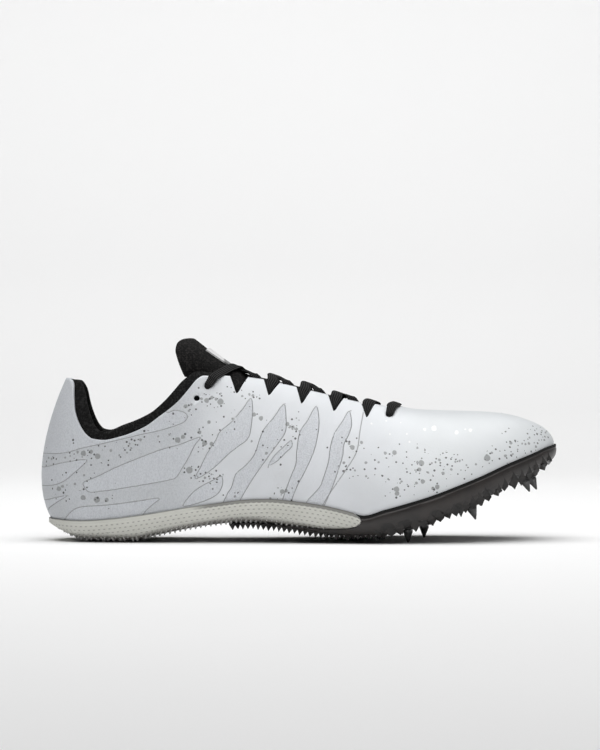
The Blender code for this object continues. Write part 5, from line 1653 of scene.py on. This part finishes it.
def crown(station, across):
    """Point and normal on the last at a signed distance from the ridge."""
    side = -1 if across < 0 else 1
    station = np.array([station])
    outer = last.controls(-1, station)[0, 3]
    inner = last.controls(1, station)[0, 3]
    centre, half = (outer + inner) / 2, abs(inner[1] - outer[1]) / 2
    if abs(across) <= half + 1e-6:
        blend = (across / half + 1) / 2 if half > 1e-6 else 0.5
        normal = last.normal(-1, station, 0.999)[0] + last.normal(1, station, 0.999)[0]
        return outer + (inner - outer) * blend, normal / np.linalg.norm(normal)
    share = last.share_where(side, station, lambda p: np.abs(p[:, 1] - centre[1]) < abs(across))
    return last.point(side, station, share)[0], last.normal(side, station, share)[0]


def tongue_grid(columns=13):
    """The tongue's outer face, as rows of points across it from the throat's front up to its free end."""
    grid = []
    spread = np.linspace(-1.0, 1.0, columns)
    for place, share, middle, edge in TONGUE_UNDER:
        station = float(last.station_at(place / 100 * LENGTH)[0])
        row = []
        for w in spread:
            point, normal = crown(station, w * share * TONGUE_HALF)
            depth = (edge + (middle - edge) * (1 - w * w)) / 100 * INSTEP_HEIGHT
            row.append(point - normal * depth)
        grid.append(row)
    for x, z, share, bend, _, lean, bow in TONGUE_FREE:
        centre = np.array([x / 100 * LENGTH, TONGUE_CENTRE, z / 100 * INSTEP_HEIGHT])
        fall = np.array([-math.sin(math.radians(lean)), 0.0, -math.cos(math.radians(lean))])
        back = np.array([fall[2], 0.0, -fall[0]])
        angle = math.radians(bend)
        half = share * TONGUE_HALF
        row = []
        for w in np.sign(spread) * np.abs(spread) ** 1.25:
            side = half * math.sin(angle * w) / math.sin(angle)
            fallen = (1 - math.cos(angle * w)) / (1 - math.cos(angle))
            bowed = bow / 100 * TONGUE_HALF * math.sin(math.pi * fallen**0.6)
            drop = half * math.tan(angle / 2) * fallen
            row.append(centre + np.array([0.0, side, 0.0]) + fall * drop + back * bowed)
        grid.append(row)
    return np.array(grid)


def build_tongue():
    grid = tongue_grid()
    keep = np.concatenate([np.linspace(0.45, 0.62, len(TONGUE_UNDER)), [row[4] for row in TONGUE_FREE]])
    fine = dense(grid, 120, 49)
    spread = np.linspace(-1.0, 1.0, fine.shape[1])
    edge_keep = np.interp(np.abs(spread), (0.0, 0.75, 0.92, 1.0), (1.0, 0.9, 0.75, 0.4))
    keep = np.interp(np.linspace(0, len(keep) - 1, len(fine)), np.arange(len(keep)), keep)
    tongue = slab("tongue_padding", fine, TONGUE_THICKNESS * keep[:, None] * edge_keep)
    tongue.data.materials.append(
        knit_look("tongue_mesh", grey(17), grey(3), grey(48, (1, 0.95, 0.94)), 0.0012, sheen=0.0)
    )
    finish_soft(tongue, "tongue")
    lifted = grid + grid_normals(grid) * (CLEARANCE + LABEL_THICKNESS)
    first = len(TONGUE_UNDER)
    strip = dense(lifted[first - 1:first + 4, 4:-4], 80, 24)
    middle = strip[:, 12, 0]
    strip = strip[(middle > LABEL_PLACE[0] * MM) & (middle < LABEL_PLACE[1] * MM)]
    label = slab("tongue_strip", strip, LABEL_THICKNESS)
    label.data.materials.append(label_look())
    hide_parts("tongue_label")
    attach(label, "root")


def build_insole():
    """Thin sock liner that lies on the cup's floor inside the upper's wall."""
    stations = np.concatenate([[0.25], np.linspace(0.6, LAST_STATION - 0.6, 70), [LAST_STATION - 0.25]])
    inset = UPPER_WALL + 3 * CLEARANCE
    sides = []
    for side in (-1, 1):
        controls = last.controls(side, stations)
        outward = controls[:, 1, :2] - controls[:, 0, :2]
        outward = outward / np.linalg.norm(outward, axis=1)[:, None]
        sides.append(controls[:, 0, :2] - outward * inset)
    spread = np.array([0.0, 0.02, 0.06, 0.14, 0.25, 0.4, 0.5, 0.6, 0.75, 0.86, 0.94, 0.98, 1.0])
    rows = []
    for outer, inner in zip(*sides):
        row = []
        for w in spread:
            x, y = outer + (inner - outer) * w
            row.append((x, y, float(profile(x, "floor")) + CLEARANCE))
        rows.append(row)
    edge_keep = np.interp(np.minimum(spread, 1 - spread), (0.0, 0.02, 0.06, 0.14), (0.4, 0.8, 0.95, 1.0))
    grid = np.array(rows)
    top = grid + np.array([0.0, 0.0, INSOLE_THICKNESS]) * edge_keep[None, :, None]
    insole = loft("sock_liner", np.concatenate([grid, top[:, ::-1]], axis=1), sharp=60)
    cloth = knit_look("liner_cloth", grey(40), grey(16), grey(56), 0.0009, relief=0.0002)
    insole.data.materials.append(cloth)
    finish_soft(insole, "insole")


# The laces

RIBBON_STEP = 0.0006
RIBBON_SECTION = 16
ROUTE_PARTS = 12
RIDGE_FALL = math.radians(19)

# Where the laces cross the ridge past each notch, in side-view millimetres, and how far the upper one's
# middle is above the last there
CROSSINGS = {
    "notch_2": (128.2, -3.0),
    "notch_3": (146.6, -3.1),
    "notch_4": (163.8, -3.6),
    "notch_5": (182.0, -2.2),
}
TOP_CROSSING = (109.6, -3.0)
# How much lower the run from the inner side crosses
UNDER = 1.1

# The way from behind the throat's edge out through a notch, as (mark, place ahead of it along the edge,
# millimetres below the edge, millimetres above the last, width)
NOTCH_PASS = (
    ("start", -2.1, -3.6, 0.2, 4.6),
    ("start", -0.7, 2.0, -2.7, 4.6),
    ("tip", -0.5, 7.5, -2.9, 3.6),
    ("tip", 0.05, 9.6, -2.2, 2.8),
    ("tip", 0.35, 6.6, -1.1, 3.8),
    ("tip", 0.75, 2.4, -0.5, 5.8),
    ("tip", 1.3, -2.2, -0.4, 6.4),
)
# Where the lace lies on the ridge between the front eyelets
FRONT_BAR = (192.8, 1.1)


def on_last(x_mm, across_mm):
    """Point and normal on the last at a side-view X and a distance across from the ridge."""
    low, high = 3.0, LAST_STATION - 0.5
    for _ in range(18):
        middle = (low + high) / 2
        if crown(middle, across_mm * MM)[0][0] < x_mm * MM:
            low = middle
        else:
            high = middle
    return crown(low, across_mm * MM)


def smooth_route(points):
    return open_curve(points, lambda a, b: ROUTE_PARTS)


def by_ridge(x_mm, across_mm, lift):
    """A point this many millimetres above the last, by side-view X and the distance across from the ridge."""
    point, normal = on_last(x_mm, across_mm)
    return point + normal * lift * MM


def by_edge(side, place, below_mm, lift):
    """The same by a place along the throat's edge and a distance down from it."""
    point, normal = eyelet(side, place, below_mm * MM)
    return point + normal * lift * MM


def ribbon(name, route):
    """A flat ribbed lace through points given with its width there in millimetres. Its width lies along the
    shoe as far as its way allows."""
    spots = smooth_route(np.array([point for point, _ in route]))
    widths = smooth_route(np.array([[width, 0.0, 0.0] for _, width in route]))[:, 0] * MM
    reach = lengths_along(spots)
    wanted = np.linspace(0.0, reach[-1], int(reach[-1] / RIBBON_STEP) + 1)
    centres = np.column_stack([np.interp(wanted, reach, spots[:, k]) for k in range(3)])
    width = np.interp(wanted, reach, widths)
    along = np.gradient(centres, axis=0)
    along /= np.linalg.norm(along, axis=1)[:, None]
    forward = np.array([math.cos(RIDGE_FALL), 0.0, -math.sin(RIDGE_FALL)])
    across = forward - (along @ forward)[:, None] * along
    across /= np.linalg.norm(across, axis=1)[:, None]
    outward = np.cross(along, across)
    angles = np.linspace(0.0, 2 * math.pi, RIBBON_SECTION, endpoint=False)
    wide = np.sign(np.cos(angles)) * np.abs(np.cos(angles)) ** 0.6 / 2
    thick = np.sign(np.sin(angles)) * np.abs(np.sin(angles)) ** 0.8 * LACE_THICKNESS / 2
    wide = across[:, None, :] * wide[:, None] * width[:, None, None]
    lace = loft(name, centres[:, None, :] + wide + outward[:, None, :] * thick[:, None], sharp=60)
    body = places(lace.data) + np.array([HEEL_X, 0.0, 0.0])
    near = np.array([np.argmin(np.linalg.norm(centres - p, axis=1)) for p in body])
    offset = np.einsum("ij,ij->i", body - centres[near], across[near])
    point_attribute(lace.data, "ribbon_across", offset / (width[near] / 2))
    point_attribute(lace.data, "ribbon_along", wanted[near] / MM)
    lace.data.materials.append(LACE_LOOK)
    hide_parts("lace")
    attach(lace, "root")


def through_eyelet(side, hole, ahead):
    """From inside the upper out through an eyelet and on towards the ridge."""
    place, below = hole[0], hole[1] / MM
    return [
        (by_edge(side, place, below, -2.3), 3.0),
        (by_edge(side, place, below, -0.8), 3.0),
        (by_edge(side, place + 0.15, below - 0.5, 0.8), 4.2),
        (by_edge(side, place + 0.5 * ahead, below * 0.55, 1.1), 5.0),
        (by_edge(side, place + ahead, below * 0.1, 1.0), 5.4),
    ]


def build_laces():
    """Two runs from the top eyelets. Each goes over the ridge, under the other side's edge, out through the
    next notch and over the ridge again; where two cross, the one from the outer side is above. The run that
    comes to the outer front eyelet goes out through it and over the throat's front to the inner one."""
    for name, first in (("lace_outer_start", -1), ("lace_inner_start", 1)):
        side = first
        x_mm, lift = TOP_CROSSING
        lift -= 0.0 if side < 0 else UNDER
        route = through_eyelet(side, TOP_EYELET, 1.6)
        route += [(by_ridge(x_mm - 4.6, side * 5.4, lift + 1.2), 5.6), (by_ridge(x_mm, 0.0, lift), 5.4)]
        for notch, (x_mm, lift) in CROSSINGS.items():
            side = -side
            start, tip, _ = NOTCHES[notch]
            lift -= 0.0 if side < 0 else UNDER
            base = {"start": start, "tip": tip}
            route += [
                (by_edge(side, base[mark] + ahead, below, above), width)
                for mark, ahead, below, above, width in NOTCH_PASS
            ]
            route += [
                (by_ridge(x_mm - 2.2, side * 5.2, lift + 0.7), 5.8),
                (by_ridge(x_mm + 0.6, 0.0, lift), 5.2),
            ]
        side = -side
        place, below = FRONT_EYELET[0], FRONT_EYELET[1] / MM
        route += [
            (by_edge(side, place - 2.4, -3.0, -1.8), 5.0),
            (by_edge(side, place - 1.2, 2.0, -2.7), 4.6),
            (by_edge(side, place - 0.3, below - 1.5, -3.2), 3.4),
        ]
        if side < 0:
            bar = through_eyelet(side, FRONT_EYELET, 1.2)
            back = through_eyelet(-side, FRONT_EYELET, 1.2)
            middle = (by_ridge(FRONT_BAR[0], 0.0, FRONT_BAR[1]), 5.4)
            route += [*bar, middle, *reversed(back)]
        ribbon(name, route)


def dress_spikes():
    look = spike_look()
    for name, node in frame["nodes"].items():
        if name.startswith("spike_") and name != "spike_plate":
            node.data.materials.clear()
            node.data.materials.append(look)


LACE_LOOK = lace_look()
bpy.context.scene.view_settings.view_transform = "Standard"
photo_camera()
studio()
build_upper()
build_sole()
build_insole()
build_lining()
build_tongue()
build_laces()
dress_spikes()
